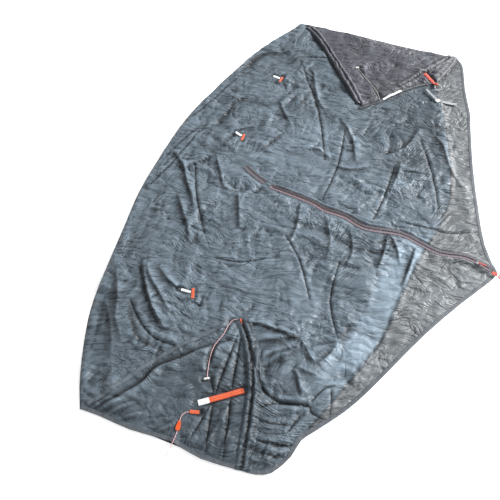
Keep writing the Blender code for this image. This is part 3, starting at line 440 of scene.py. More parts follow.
class FacetNoise:
    """Flat facets that meet in sharp creases, from -1 to 1, on a lattice of triangles."""

    CELLS = 96

    def __init__(self, seed):
        self.level = np.random.default_rng(seed).uniform(-1.0, 1.0, (self.CELLS, self.CELLS))

    def __call__(self, x, y):
        up = y * 2 / math.sqrt(3)
        right = x - up / 2
        column = np.floor(right).astype(int)
        row = np.floor(up).astype(int)
        f, g = right - column, up - row

        def level(aside, above):
            return self.level[(column + aside) % self.CELLS, (row + above) % self.CELLS]

        near = level(0, 0) * (1 - f - g) + level(1, 0) * f + level(0, 1) * g
        far = level(1, 1) * (f + g - 1) + level(0, 1) * (1 - f) + level(1, 0) * (1 - g)
        return np.where(f + g < 1, near, far)


# ---------------------------------------------------------------- height of the cloth

NOISES = [GradientNoise(seed) for seed in range(12)]
FACETS = [FacetNoise(seed) for seed in range(50, 56)]
PACKING_CREASES = 900
REAR_LINE = curve(REAR_EDGE, 2)
LEFT_LINE = curve(LEFT_FOLD)
ZIP_CURVE = curve(ZIP_LINE)
FREE_EDGE = join_lines(curve(CANOPY_SIDE, 2), curve(DOOR_SIDE, 2), curve(DOOR_HEM, 2),
                       curve(CANOPY_FOOT, 2), curve(END_HEM, 2)[::-1])
FLAP_EDGE = join_lines(curve(FLAP_SEAM, 2), curve(FLAP_HEM, 2), curve(FLAP_SIDE, 2))
FLAP_OUTLINE = join_lines([HEAD_CORNER, HEAD_TOP], FLAP_EDGE)


def turned(x, y, degrees, long, wide):
    """Coordinates along and across a direction, in units of a wrinkle's length and width."""
    cosine = math.cos(math.radians(degrees))
    sine = math.sin(math.radians(degrees))
    return (x * cosine + y * sine) / long, (y * cosine - x * sine) / wide


def crinkles(x, y):
    """Heights of the random wrinkles: broad waves and creased facets of four sizes."""
    bend_x = x + 0.050 * NOISES[0](x / 0.19, y / 0.19) + 0.016 * NOISES[1](x / 0.055, y / 0.055)
    bend_y = y + 0.050 * NOISES[2](x / 0.19, y / 0.19) + 0.016 * NOISES[3](x / 0.055, y / 0.055)
    waves = 0.0030 * NOISES[4](x / 0.27, y / 0.27)
    share = smoothstep(NOISES[7](x / 0.22 + 9.0, y / 0.22), -0.15, 0.15)

    def facets(which, degrees, long, wide):
        return FACETS[which](*turned(bend_x, bend_y, degrees, long, wide))

    large = 0.0085 * (facets(0, 66.0, 0.150, 0.072) * share
                      + facets(1, -24.0, 0.140, 0.060) * (1 - share))
    middle = 0.0046 * (facets(2, 58.0, 0.105, 0.030) * (0.25 + 0.75 * share)
                       + facets(3, -32.0, 0.095, 0.028) * (1.0 - 0.75 * share))
    small = 0.0016 * facets(4, 80.0, 0.050, 0.015)
    fine = 0.0011 * facets(3, -12.0, 0.040, 0.011)
    patchy = 0.55 + 0.9 * smoothstep(NOISES[10](x / 0.14, y / 0.14), -0.25, 0.35)
    off_edge, _, share = measure(x, y, LEFT_LINE)
    beside = np.exp(-(off_edge / 0.110) ** 2)
    rim = 0.0030 * FACETS[5](share * 2.4 / 0.110 + NOISES[0](x / 0.06, y / 0.06),
                             off_edge / 0.020 + 0.8 * NOISES[1](x / 0.11, y / 0.11))
    return waves + large * (1 - 0.4 * beside) + (middle + small + fine) * patchy + rim * beside


def packing_creases(x, y):
    """Sharp straight creases of many lengths, left by the way the fly was packed."""
    random = np.random.default_rng(41)
    total = np.zeros(x.shape)
    for _ in range(PACKING_CREASES):
        middle = random.uniform((-0.82, -1.18), (0.82, 1.18))
        family = random.choice((28.0, 64.0, 118.0, 152.0))
        turn = math.radians(family + random.normal(0.0, 16.0))
        half = random.uniform(0.015, 0.085)
        height = random.uniform(0.0007, 0.0026) * random.choice((1.0, -1.0, -1.0))
        steep = random.uniform(0.0022, 0.0040)
        soft = random.uniform(0.005, 0.020)
        run = np.array((math.cos(turn), math.sin(turn)))
        points = close_to(x, y, (middle - run * half, middle + run * half), 2.5 * soft)
        if len(points) == 0:
            continue
        off_x = x[points] - middle[0]
        off_y = y[points] - middle[1]
        along = (off_x * run[0] + off_y * run[1]) / half
        across = off_y * run[0] - off_x * run[1] + 0.12 * half * along * along
        profile = np.where(across > 0, np.exp(-across / soft), np.exp(across / steep))
        total[points] += height * profile * np.clip(1 - along * along, 0.0, 1.0) ** 1.2
    return total


def named_folds(x, y):
    """The folds, valleys, pleats and puckers that have a place of their own."""
    total = np.zeros(x.shape)
    for points, height, steep, soft in FOLDS:
        chosen, distance, side, share = points_near(x, y, curve(points), 3 * soft)
        width = np.where(side > 0, soft, steep)
        total[chosen] += height * np.exp(-(distance / width) ** 1.3) * tapered(share, 0.4)
    for points, depth, width in VALLEYS:
        chosen, distance, _, share = points_near(x, y, curve(points), 7 * width)
        bank = np.exp(-((distance - 2.2 * width) / (1.5 * width)) ** 2)
        profile = 0.35 * bank - np.exp(-distance / (0.55 * width))
        total[chosen] += depth * profile * tapered(share, 0.3)
    for start, end, height, width in PLEATS:
        chosen, distance, _, share = points_near(x, y, (start, end), 3 * width)
        swell = smoothstep(share, 0.0, 0.25) * (1 - smoothstep(share, 0.5, 1.0))
        total[chosen] += height * np.exp(-(distance / width) ** 1.5) * swell
    for index, (place, reach, height, rays) in enumerate(PUCKERS):
        chosen = close_to(x, y, np.array([place]), reach)
        off_x = x[chosen] - place[0]
        off_y = y[chosen] - place[1]
        away = np.hypot(off_x, off_y)
        turn = np.arctan2(off_y, off_x)
        turn = turn + 0.8 * NOISES[11](off_x / 0.05 + 5 * index, off_y / 0.05)
        ray = 0.40 - np.abs(np.sin(0.5 * rays * turn + 1.7 * index)) ** 0.6
        fade = (1 - smoothstep(away, 0.35 * reach, reach)) * away / (away + 0.015)
        total[chosen] += 0.8 * height * ray * fade
    return total


def blob(x, y, place, wide, high):
    """A soft round patch: 1 in its middle and 0 far away."""
    return np.exp(-((x - place[0]) / wide) ** 2 - ((y - place[1]) / high) ** 2)


def calmness(x, y):
    """Where the cloth is pulled smooth: along the rear wall's edge, on the door, in patches."""
    inner = double_layer(x, y)
    band = smoothstep(inner, 0.002, 0.012) * (1 - smoothstep(inner, 0.070, 0.110))
    band = band * (1 - smoothstep(y, -0.38, -0.20)) * smoothstep(y, -0.98, -0.80)
    fields = (0.70 * blob(x, y, (0.00, 0.14), 0.17, 0.22)
              + 0.65 * blob(x, y, (-0.10, -0.58), 0.15, 0.13)
              + 0.60 * blob(x, y, (-0.50, -0.93), 0.12, 0.09)
              + 0.50 * smoothstep(NOISES[2](x / 0.15 + 4.0, y / 0.15), 0.05, 0.35))
    return np.clip(np.maximum(band, fields), 0.0, 1.0)


def fold_shades(x, y):
    """How much light reaches the cloth beside the named folds and in the valleys."""
    light = np.ones(x.shape)
    for points, height, steep, soft in FOLDS:
        reach = 2.2 * steep + 0.004
        chosen, distance, side, share = points_near(x, y, curve(points), 3 * reach)
        ends = tapered(share, 0.4)
        depth = ends * min(0.80, height / 0.0095)
        shade = np.exp(-((distance - 0.004) / reach) ** 2) * depth
        glow = np.exp(-((distance - 0.008) / (0.6 * soft)) ** 2) * ends
        lit = 1 + 0.22 * glow - 0.55 * depth * np.exp(-(distance / 0.003) ** 2)
        light[chosen] *= np.where(side > 0, lit, 1 - shade)
    for points, _, width in VALLEYS:
        chosen, distance, _, share = points_near(x, y, curve(points), 6 * width)
        waver = 0.55 + 0.9 * np.abs(NOISES[9](x[chosen] / 0.03, y[chosen] / 0.03))
        dark = 0.58 * tapered(share, 0.3) * waver
        light[chosen] *= 1 - dark * np.exp(-(distance / (0.80 * width)) ** 1.2)
    for start, end, _, width in PLEATS:
        chosen, distance, _, share = points_near(x, y, (start, end), 4 * width)
        swell = smoothstep(share, 0.0, 0.2) * (1 - smoothstep(share, 0.4, 1.0))
        light[chosen] *= 1 - 0.45 * swell * np.exp(-((distance - width) / (0.6 * width)) ** 2)
    return light


def tab_line(centre, degrees, length):
    """The middle line of a tab, from its centre and its angle."""
    run = np.array((math.cos(math.radians(degrees)), math.sin(math.radians(degrees)))) * length / 2
    return np.array((np.array(centre) - run, np.array(centre) + run))


def plan(route):
    """A route seen from above."""
    return np.array(route)[:, :2]


# Lines along which the canopy lies flat, because something rests on it: line, reach, fade
SKIN_RESTS = [
    (ZIP_CURVE, 0.014, 0.020),
    (curve([ZIP_LINE[0], *END_PATCH[1::-1]]), 0.013, 0.018),
    (plan(FOOT_CORD), 0.0035, 0.012),
    (plan(GUY_CORD), 0.0060, 0.012),
    (tab_line(*FOOT_TOGGLE, TOGGLE_LENGTH), 0.006, 0.012),
    (tab_line(*FOOT_TAB[:3]), 0.006, 0.014),
    (tab_line(*FOOT_CORNER_TAB[:3]), 0.007, 0.014),
    ((STRAP_HINGE, STRAP_END), 0.011, 0.014),
    ((SLIDER_REST, (0.5800, -0.4440)), 0.008, 0.014),
    ((SLIDER_OPEN, (-0.110, -0.085)), 0.008, 0.014),
    (((0.596, -0.468), (0.612, -0.477)), 0.010, 0.014),
] + [(tab_line(*tie_out, TIE_OUT_LENGTH), 0.007, 0.014) for tie_out in TIE_OUTS.values()]
LOOP_LINES = [((-0.108, 0.659), (-0.141, 0.683)), ((-0.288, 0.252), (-0.318, 0.282)),
              ((-0.454, -0.551), (-0.494, -0.537))]
SKIN_RESTS += [(line, 0.006, 0.014) for line in LOOP_LINES]

# The same for the head flap
FLAP_RESTS = [
    (plan(HEAD_CORD), 0.0035, 0.012),
    (tab_line(*HEAD_TOGGLE, TOGGLE_LENGTH), 0.006, 0.012),
    (CORNER_TAB, 0.011, 0.014),
    (((0.567, 0.572), (0.603, 0.487)), 0.010, 0.014),
]


def flatness(x, y, rests):
    """From 0, where the cloth is free, to 1, where something rests on it."""
    most = np.zeros(x.shape)
    for line, reach, fade in rests:
        chosen, distance, _, _ = points_near(x, y, line, reach + fade)
        most[chosen] = np.maximum(most[chosen], 1 - smoothstep(distance, reach, reach + fade))
    return most


def rounded_edge(distance, width):
    """Rises like a quarter of an ellipse from 0 at the edge to 1 at the width."""
    return np.sqrt(np.clip(1 - (1 - np.clip(distance / width, 0.0, 1.0)) ** 2, 0.0, 1.0))


def double_layer(x, y):
    """Signed distance to the rear wall's edge; positive where the rear wall lies below."""
    distance, side, _ = measure(x, y, REAR_LINE)
    return -side * distance


def skin_height(x, y):
    """Height of the canopy, the doors and the foot end above the floor."""
    layered = smoothstep(double_layer(x, y), -0.028, 0.012)
    free = SINGLE_LAYER + (SKIN_FREE - SINGLE_LAYER) * layered
    wrinkled = (0.55 + 0.45 * layered) * (1 - 0.45 * calmness(x, y))
    height = free + (crinkles(x, y) + packing_creases(x, y)) * wrinkled
    height = height + named_folds(x, y)
    edge = measure(x, y, FREE_EDGE)[0]
    lying = 0.0018 + 0.0018 * np.abs(NOISES[11](x / 0.050, y / 0.050))
    height = lying + (height - lying) * (0.22 + 0.78 * smoothstep(edge, 0.004, 0.045))
    rest = flatness(x, y, SKIN_RESTS)
    under_flap = inside(x, y, FLAP_OUTLINE)
    beside_flap = measure(x, y, np.vstack([curve(FLAP_SEAM, 2), curve(FLAP_HEM, 2)]))[0]
    rest = np.where(under_flap, 1.0, np.maximum(rest, 1 - smoothstep(beside_flap, 0.002, 0.030)))
    height = height * (1 - rest) + SKIN_REST * rest
    height = CLOTH_LOWEST + 0.0006 + np.logaddexp(0.0, (height - CLOTH_LOWEST) / 0.0012) * 0.0012
    distance, side, share = measure(x, y, ZIP_CURVE)
    overhang = np.exp(-((distance - 0.0185) / 0.0050) ** 2) * (side > 0)
    overhang = overhang * smoothstep(share, 0.02, 0.08) * (1 - smoothstep(share, 0.82, 0.92))
    height = height + overhang * (0.0052 + 0.0030 * NOISES[6](x / 0.045, y / 0.045))
    left = measure(x, y, LEFT_LINE)[0]
    height = LEFT_FOLD_LOW + (height - LEFT_FOLD_LOW) * rounded_edge(left, 0.026)
    head = measure(x, y, (HEAD_TOP, HEAD_CORNER))[0]
    return HEAD_FOLD_LOW + (height - HEAD_FOLD_LOW) * rounded_edge(head, 0.018)


def flap_height(x, y):
    """Height of the head flap, which lies folded over on the canopy."""
    height = FLAP_REST + 0.0016 + 0.8 * (crinkles(x + 2.0, y) + packing_creases(x, y))
    seam = measure(x, y, curve(FLAP_SEAM, 2))[0]
    hem = measure(x, y, np.vstack([curve(FLAP_HEM, 2), curve(FLAP_SIDE, 2)]))[0]
    height = height + 0.0060 * np.exp(-((hem - 0.034) / 0.016) ** 2)
    second_roll = measure(x, y, SECOND_ROLL)[0]
    height = height + 0.0050 * (np.exp(-((second_roll - 0.012) / 0.008) ** 2)
                                - 1.2 * np.exp(-(second_roll / 0.005) ** 2))
    rest = flatness(x, y, FLAP_RESTS)
    height = height * (1 - rest) + FLAP_REST * rest
    edge = rounded_edge(np.minimum(seam, hem), 0.012)
    height = np.maximum(FLAP_EDGE_LOW + (height - FLAP_EDGE_LOW) * edge, FLAP_LOWEST)
    fold = measure(x, y, (HEAD_TOP, HEAD_CORNER))[0]
    return FLAP_FOLD_LOW + (height - FLAP_FOLD_LOW) * rounded_edge(fold, 0.024)


def rear_height(x, y):
    """The rear wall, flat on the floor under the canopy."""
    return 0.0006 + 0.0012 * np.abs(NOISES[11](x / 0.12, y / 0.12))


# ---------------------------------------------------------------- meshes


def set_attribute(mesh, name, values):
    """Stores one number for each point, for a material to read."""
    layer = mesh.attributes.new(name, "FLOAT", "POINT")
    layer.data.foreach_set("value", np.asarray(values, np.float32))


def add_mesh(name, points, faces, material):
    mesh = bpy.data.meshes.new(name)
    mesh.from_pydata([tuple(point) for point in points], [], faces)
    mesh.update()
    mesh.shade_smooth()
    item = bpy.data.objects.new(name, mesh)
    bpy.context.collection.objects.link(item)
    mesh.materials.append(material)
    return item


def attach(item, body):
    """Makes a piece follow its body, except that a piece of a body listed in BENDS only has its
    place baked into its points.
    """
    if body in BENDS:
        start, way, width = BENDS[body]
        way = Vector((way[0], way[1], 0.0)).normalized()
        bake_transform(item)
    else:
        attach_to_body(item, body)
    return item


def lattice(outline, step, seed):
    """Jittered points of a triangular lattice inside an outline, clear of its edge."""
    low = outline.min(axis=0)
    high = outline.max(axis=0)
    rows = math.ceil((high[1] - low[1]) / (step * ROW_SHARE))
    columns = math.ceil((high[0] - low[0]) / step)
    column, row = np.meshgrid(np.arange(columns + 1), np.arange(rows + 1))
    x = (low[0] + (column + 0.5 * (row % 2)) * step).ravel()
    y = (low[1] + row * step * ROW_SHARE).ravel()
    jitter = np.random.default_rng(seed).uniform(-0.24 * step, 0.24 * step, (2, len(x)))
    x += jitter[0]
    y += jitter[1]
    chosen = inside(x, y, outline)
    x, y = x[chosen], y[chosen]
    tree = KDTree(len(outline))
    for index, point in enumerate(outline):
        tree.insert((point[0], point[1], 0.0), index)
    tree.balance()
    clear = [tree.find((px, py, 0.0))[2] > 0.62 * step for px, py in zip(x, y)]
    return np.column_stack([x, y])[np.array(clear)]


def hollows(mesh, z, rounds):
    """How far each point lies below the cloth around it."""
    ends = np.empty(2 * len(mesh.edges), np.int32)
    mesh.edges.foreach_get("vertices", ends)
    one, two = ends[0::2], ends[1::2]
    count = np.bincount(one, minlength=len(z)) + np.bincount(two, minlength=len(z))
    smooth = z.copy()
    for _ in range(rounds):
        total = np.bincount(one, smooth[two], len(z)) + np.bincount(two, smooth[one], len(z))
        smooth = 0.5 * smooth + 0.5 * total / np.maximum(count, 1)
    return smooth - z


def store_for_cloth(mesh, layers, under_edge_shade, crease, hollow_shading, tone, calm):
    """What the cloth's material reads on its points."""
    # The second value is painted shade along the rear wall's edge below; the third and fourth are
    # painted shade in creases and hollows and painted highlight on crests.
    set_attribute(mesh, "layers", layers)
    set_attribute(mesh, "under_edge_shade", under_edge_shade)
    set_attribute(mesh, "crease", crease)
    set_attribute(mesh, "hollow_shading", hollow_shading)
    set_attribute(mesh, "tone", tone)
    set_attribute(mesh, "calm", calm)


def cloth(name, outline, height, material, body, node, tone, step):
    """One panel of crinkled cloth, with what its material reads stored on its points."""
    edge = even(np.vstack([outline, outline[:1]]), step)[:-1]
    inner = lattice(edge, step, seed=len(edge))
    points = [Vector(point) for point in np.vstack([edge, inner])]
    sides = [(index, (index + 1) % len(edge)) for index in range(len(edge))]
    flat, _, faces, _, _, _ = delaunay_2d_cdt(points, sides, [], 1, 1e-6)
    x = np.array([point.x for point in flat])
    y = np.array([point.y for point in flat])
    z = height(x, y)
    item = add_mesh(name, np.column_stack([x, y, z]), faces, material)
    layered = double_layer(x, y)
    # Stored for painted shade along the rear wall's edge below and in creases and hollows; the tone
    # carries the panel's painted shade as well.
    store_for_cloth(item.data, smoothstep(layered, -0.004, 0.004),
                    np.exp(-(layered / 0.005) ** 2), hollows(item.data, z, 3) / 0.0005,
                    hollows(item.data, z, 60) / 0.0030, tone(x, y), calmness(x, y))
    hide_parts(node)
    return attach(item, body)


def sweep(line):
    """Sideways unit vectors, to the left, at every point of a plan line."""
    run = np.gradient(line, axis=0)
    run /= np.linalg.norm(run, axis=1)[:, None]
    return np.column_stack([-run[:, 1], run[:, 0]])


def places_beside(line, offsets):
    """Points in rows across a plan line, one row for each of its points."""
    places = line[:, None, :] + sweep(line)[:, None, :] * offsets[None, :, None]
    return places[..., 0].ravel(), places[..., 1].ravel()


def grid_faces(rows, columns):
    """Faces of a grid of points, facing up when its columns run to the left of its rows."""
    return [(row * columns + column + columns, row * columns + column + columns + 1,
             row * columns + column + 1, row * columns + column)
            for row in range(rows - 1) for column in range(columns - 1)]


def ribbon(name, line, reach, height, band, material, body, nodes, slot, step=0.004,
           crown=0.0):
    """A band of cloth along a plan line, from right to left, following the height below it."""
    lift, thick = band
    line = even(np.asarray(line, float), step)
    along = lengths_along(line)
    left, right = reach
    width = 6
    offsets = np.linspace(-right, left, width)
    x, y = places_beside(line, offsets)
    share = np.tile(np.linspace(-1.0, 1.0, width), len(line))
    top = height(x, y) + lift + crown * (1 - share ** 2)
    count = len(x)
    points = np.vstack([np.column_stack([x, y, top]), np.column_stack([x, y, top - thick])])
    faces = []
    for face in grid_faces(len(line), width):
        faces.append(face)
        faces.append(tuple(index + count for index in face[::-1]))
    rim = list(range(width))
    rim += [row * width + width - 1 for row in range(1, len(line))]
    rim += [(len(line) - 1) * width + column for column in range(width - 2, -1, -1)]
    rim += [row * width for row in range(len(line) - 2, 0, -1)]
    for here, there in zip(rim, rim[1:] + rim[:1]):
        faces.append((here, there, there + count, here + count))
    item = add_mesh(name, points, faces, material)
    item.data.set_sharp_from_angle(angle=math.radians(50))
    set_attribute(item.data, "along", np.tile(np.repeat(along, width), 2))
    set_attribute(item.data, "across", np.tile(np.tile(offsets, len(line)), 2))
    set_attribute(item.data, "edge", np.tile(np.abs(share), 2))
    if nodes:
        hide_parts(*nodes)
    return attach(item, body)


def frames_along(route):
    """Points of a space curve with two unit vectors across it at each one."""
    run = np.gradient(route, axis=0)
    run /= np.linalg.norm(run, axis=1)[:, None]
    flat = np.column_stack([-run[:, 1], run[:, 0], np.zeros(len(run))])
    flat /= np.linalg.norm(flat, axis=1)[:, None]
    return flat, np.cross(run, flat)


def tube(name, route, radius, material):
    """A round cord along a space curve, closed and rounded at both ends."""
    aside, upward = frames_along(route)
    along = lengths_along(route)
    turns = 10
    points = []
    walked = []
    round_share = []
    for index, centre in enumerate(route):
        ends = min(along[index], along[-1] - along[index])
        wide = radius * (0.55 + 0.45 * min(1.0, ends / radius))
        for turn in range(turns):
            angle = 2 * math.pi * turn / turns
            points.append(centre + wide * (math.cos(angle) * aside[index]
                                           + math.sin(angle) * upward[index]))
            walked.append(along[index])
            round_share.append(turn / turns)
    item = add_mesh(name, points, ring_faces(len(route), turns), material)
    set_attribute(item.data, "along", walked)
    set_attribute(item.data, "around", np.abs(np.array(round_share) * 2 - 1))
    return item


def ring_faces(rings, count):
    """Faces between rings of points, with a cap at both ends."""
    faces = []
    for index in range(rings - 1):
        for step in range(count):
            here = index * count + step
            there = index * count + (step + 1) % count
            faces.append((here, there, there + count, here + count))
    faces.append(tuple(range(count))[::-1])
    faces.append(tuple(range((rings - 1) * count, rings * count)))
    return faces


def loft(name, sections, material):
    """A skin over rows of points; every section is a closed ring, capped at both ends."""
    faces = ring_faces(len(sections), len(sections[0]))
    return add_mesh(name, np.vstack(sections), faces, material)


# ---------------------------------------------------------------- materials


class Shader:
    """Adds nodes to one material and links them."""

    def __init__(self, name, roughness=0.5, **settings):
        self.material = bpy.data.materials.new(name)
        self.material.use_nodes = True
        self.tree = self.material.node_tree
        self.main = self.tree.nodes["Principled BSDF"]
        self.main.inputs["Roughness"].default_value = roughness
        for socket, value in settings.items():
            self.main.inputs[socket.replace("_", " ")].default_value = value

    def node(self, kind, **settings):
        made = self.tree.nodes.new("ShaderNode" + kind)
        for key, value in settings.items():
            setattr(made, key, value)
        return made

    def feed(self, socket, value):
        if isinstance(value, bpy.types.NodeSocket):
            self.tree.links.new(value, socket)
        else:
            socket.default_value = value

    def set(self, socket, value):
        self.feed(self.main.inputs[socket], value)

    def attribute(self, name):
        return self.node("Attribute", attribute_name=name).outputs["Fac"]

    def place(self):
        return self.node("TexCoord").outputs["Object"]

    def noise(self, scale, detail=3.0, roughness=0.55, distortion=0.0, vector=None):
        made = self.node("TexNoise")
        self.feed(made.inputs["Vector"], vector or self.place())
        made.inputs["Scale"].default_value = scale
        made.inputs["Detail"].default_value = detail
        made.inputs["Roughness"].default_value = roughness
        made.inputs["Distortion"].default_value = distortion
        return made.outputs["Fac"]

    def voronoi(self, feature, vector, scale, **settings):
        made = self.node("TexVoronoi", feature=feature, **settings)
        self.feed(made.inputs["Vector"], vector)
        made.inputs["Scale"].default_value = scale
        return made.outputs["Distance"]

    def swirled(self, scale, detail, shift, degrees, stretch):
        """Places in the plan, bent by a soft noise, then turned and stretched."""
        bend = self.node("TexNoise")
        self.feed(bend.inputs["Vector"], self.place())
        bend.inputs["Scale"].default_value = scale
        bend.inputs["Detail"].default_value = detail
        scaled = self.node("VectorMath", operation="SCALE")
        self.feed(scaled.inputs[0], bend.outputs["Color"])
        scaled.inputs["Scale"].default_value = shift
        moved = self.node("VectorMath", operation="ADD")
        self.feed(moved.inputs[0], self.place())
        self.feed(moved.inputs[1], scaled.outputs[0])
        laid = self.node("Mapping")
        self.feed(laid.inputs["Vector"], moved.outputs[0])
        laid.inputs["Rotation"].default_value = (0.0, 0.0, math.radians(degrees))
        laid.inputs["Scale"].default_value = (*stretch, 0.0)
        return laid.outputs[0]

    def facets(self, scale, stretch, degrees, waver):
        """Distance to the creases between flat facets, longer along one direction."""
        laid = self.swirled(scale * 0.45, 2.0, waver / scale, degrees, (1 / stretch, stretch))
        return self.voronoi("DISTANCE_TO_EDGE", laid, scale, voronoi_dimensions="2D")

    def streaks(self, long, wide, degrees):
        """Distance to long creases that run one way, 0 on a crease and 0.5 at the most."""
        laid = self.swirled(3.2, 1.0, 0.42, degrees, (1 / long, 1 / wide))
        value = self.noise(1.0, 3.0, 0.5, 0.7, laid)
        return self.math("ABSOLUTE", self.math("SUBTRACT", value, 0.5))

    def math(self, operation, one, two=0.0):
        made = self.node("Math", operation=operation)
        self.feed(made.inputs[0], one)
        self.feed(made.inputs[1], two)
        return made.outputs[0]

    def times(self, *values):
        """The product of two or more values."""
        product = values[0]
        for value in values[1:]:
            product = self.math("MULTIPLY", product, value)
        return product

    def span(self, value, low, high, new_low=0.0, new_high=1.0):
        made = self.node("MapRange")
        for socket, item in zip(("Value", "From Min", "From Max", "To Min", "To Max"),
                                (value, low, high, new_low, new_high)):
            self.feed(made.inputs[socket], item)
        return made.outputs["Result"]

    def mix(self, share, one, two, blend_type="MIX"):
        made = self.node("Mix", data_type="RGBA", blend_type=blend_type)
        self.feed(made.inputs["Factor"], share)
        for socket, value in zip((made.inputs[6], made.inputs[7]), (one, two)):
            self.feed(socket, value if isinstance(value, bpy.types.NodeSocket) else (*value, 1.0))
        return made.outputs[2]

    def tinted(self, colour, tone):
        """A colour made darker or lighter by a tone around 1."""
        return self.mix(1.0, colour, self.vector(tone, tone, tone), "MULTIPLY")

    def vector(self, x, y, z=0.0):
        made = self.node("CombineXYZ")
        for socket, value in zip(made.inputs, (x, y, z)):
            self.feed(socket, value)
        return made.outputs[0]

    def wave(self, value, pitch):
        """From -1 to 1 and back once per pitch."""
        return self.math("SINE", self.times(value, 2 * math.pi / pitch))

    def bump(self, height, strength, distance, below=None):
        made = self.node("Bump")
        made.inputs["Strength"].default_value = strength
        made.inputs["Distance"].default_value = distance
        self.feed(made.inputs["Height"], height)
        if below is not None:
            self.feed(made.inputs["Normal"], below)
        return made.outputs["Normal"]

    def stitches(self, across, along, place, width=0.0007, pitch=0.0045):
        """1 on the dashes of a row of stitches at one place across a band, otherwise 0."""
        offset = self.math("ABSOLUTE", self.math("SUBTRACT", across, place))
        row = self.span(offset, width * 0.6, width, 1.0, 0.0)
        dash = self.span(self.wave(along, pitch), -0.55, -0.25)
        return self.times(row, dash)


# Long creases of the cloth: length, width and angle, then the place and the limits of the
# noise that shows them, how wide their painted dark line of shade is and how deep they are
STREAKS = [
    ((0.120, 0.044, -64.0), 5.5, (0.44, 0.56), 0.011, 0.0040),
    ((0.110, 0.042, 40.0), 5.5, (0.56, 0.44), 0.012, 0.0038),
    ((0.062, 0.028, -105.0), 8.0, (0.42, 0.60), 0.016, 0.0019),
    ((0.060, 0.027, -20.0), 7.0, (0.60, 0.42), 0.017, 0.0017),
]


def cloth_material(name, double, single):
    """Thin coated nylon: two layers are bluer and darker, one layer is warm and pale."""
    shader = Shader(name, roughness=0.55, Specular_IOR_Level=0.30, Sheen_Weight=0.05,
                    Sheen_Roughness=0.4)
    colour = shader.mix(shader.attribute("layers"), single, double)
    lively = shader.span(shader.attribute("calm"), 0.0, 1.0, 1.0, 0.25)
    crease = shader.attribute("crease")
    creases = shader.facets(17.0, 1.70, 32.0, 1.3)
    deepest = shader.span(shader.noise(11.0, 3.0), 0.40, 0.62, 0.40, 1.0)
    # Besides the stored tone and random changes, the colour gets painted shade in hollows, in
    # creases, along the rear wall's edge below and along the creases between facets, and a painted
    # highlight on crests.
    tone = shader.times(
        shader.attribute("tone"),
        shader.span(shader.noise(5.0, 4.0, 0.6), 0.35, 0.68, 0.88, 1.10),
        shader.span(shader.noise(70.0, 4.0, 0.6, 0.8), 0.30, 0.72, 0.97, 1.03),
        shader.span(shader.attribute("hollow_shading"), -0.7, 1.0, 1.12, 0.70),
        shader.span(crease, 0.15, 1.6, 1.0, 0.34),
        shader.span(crease, -1.6, -0.15, 1.10, 1.0),
        shader.span(shader.attribute("under_edge_shade"), 0.2, 1.0, 1.0, 0.48),
        shader.span(creases, 0.0, 0.030, deepest, 1.0))
    normal = shader.bump(creases, 0.80, 0.0120)
    # Each long crease gets a painted dark line of shade and a bump.
    for shape, scale, limits, width, depth in STREAKS:
        run = shader.streaks(*shape)
        mask = shader.times(shader.span(shader.noise(scale, 2.0), *limits), lively)
        line = shader.times(shader.span(run, 0.0, width, 0.44, 1.0), mask)
        tone = shader.times(tone, shader.math("ADD", line, shader.math("SUBTRACT", 1.0, mask)))
        slope = shader.times(shader.span(run, 0.0, 0.13), mask)
        normal = shader.bump(slope, 0.85, depth, normal)
    shader.set("Base Color", shader.tinted(colour, tone))
    shader.set("Roughness", shader.span(shader.noise(12.0, 2.0), 0.3, 0.7, 0.40, 0.56))
    shader.set("Normal", shader.bump(shader.noise(1400.0, 1.0), 0.08, 0.0004, normal))
    return shader.material


def hem_material(name, colour, thread, rows, half_width):
    """Doubled and stitched cloth: small puckers along the edge, painted shade towards both of its
    borders and rows of stitches.
    """
    shader = Shader(name, roughness=0.55, Sheen_Weight=0.1)
    along = shader.attribute("along")
    across = shader.attribute("across")
    patches = shader.span(shader.noise(60.0, 4.0, 0.6), 0.3, 0.7, 0.75, 1.25)
    seams = shader.stitches(across, along, rows[0])
    for place in rows[1:]:
        seams = shader.math("MAXIMUM", seams, shader.stitches(across, along, place))
    # Painted shade towards both borders of the band.
    edge = shader.span(shader.attribute("edge"), 0.78, 1.0, 1.0, 0.55)
    base = shader.tinted(colour, shader.times(patches, edge))
    shader.set("Base Color", shader.mix(seams, base, thread))
    ripple = shader.vector(shader.times(along, 210.0), shader.times(across, 60.0))
    puckers = shader.noise(1.0, 2.0, 0.6, 0.0, ripple)
    normal = shader.bump(puckers, 0.6, half_width * 0.35)
    normal = shader.bump(shader.noise(260.0, 3.0), 0.35, 0.0012, normal)
    shader.set("Normal", shader.bump(seams, 0.5, 0.0005, normal))
    shader.set("Roughness", shader.span(patches, 0.75, 1.25, 0.48, 0.62))
    return shader.material


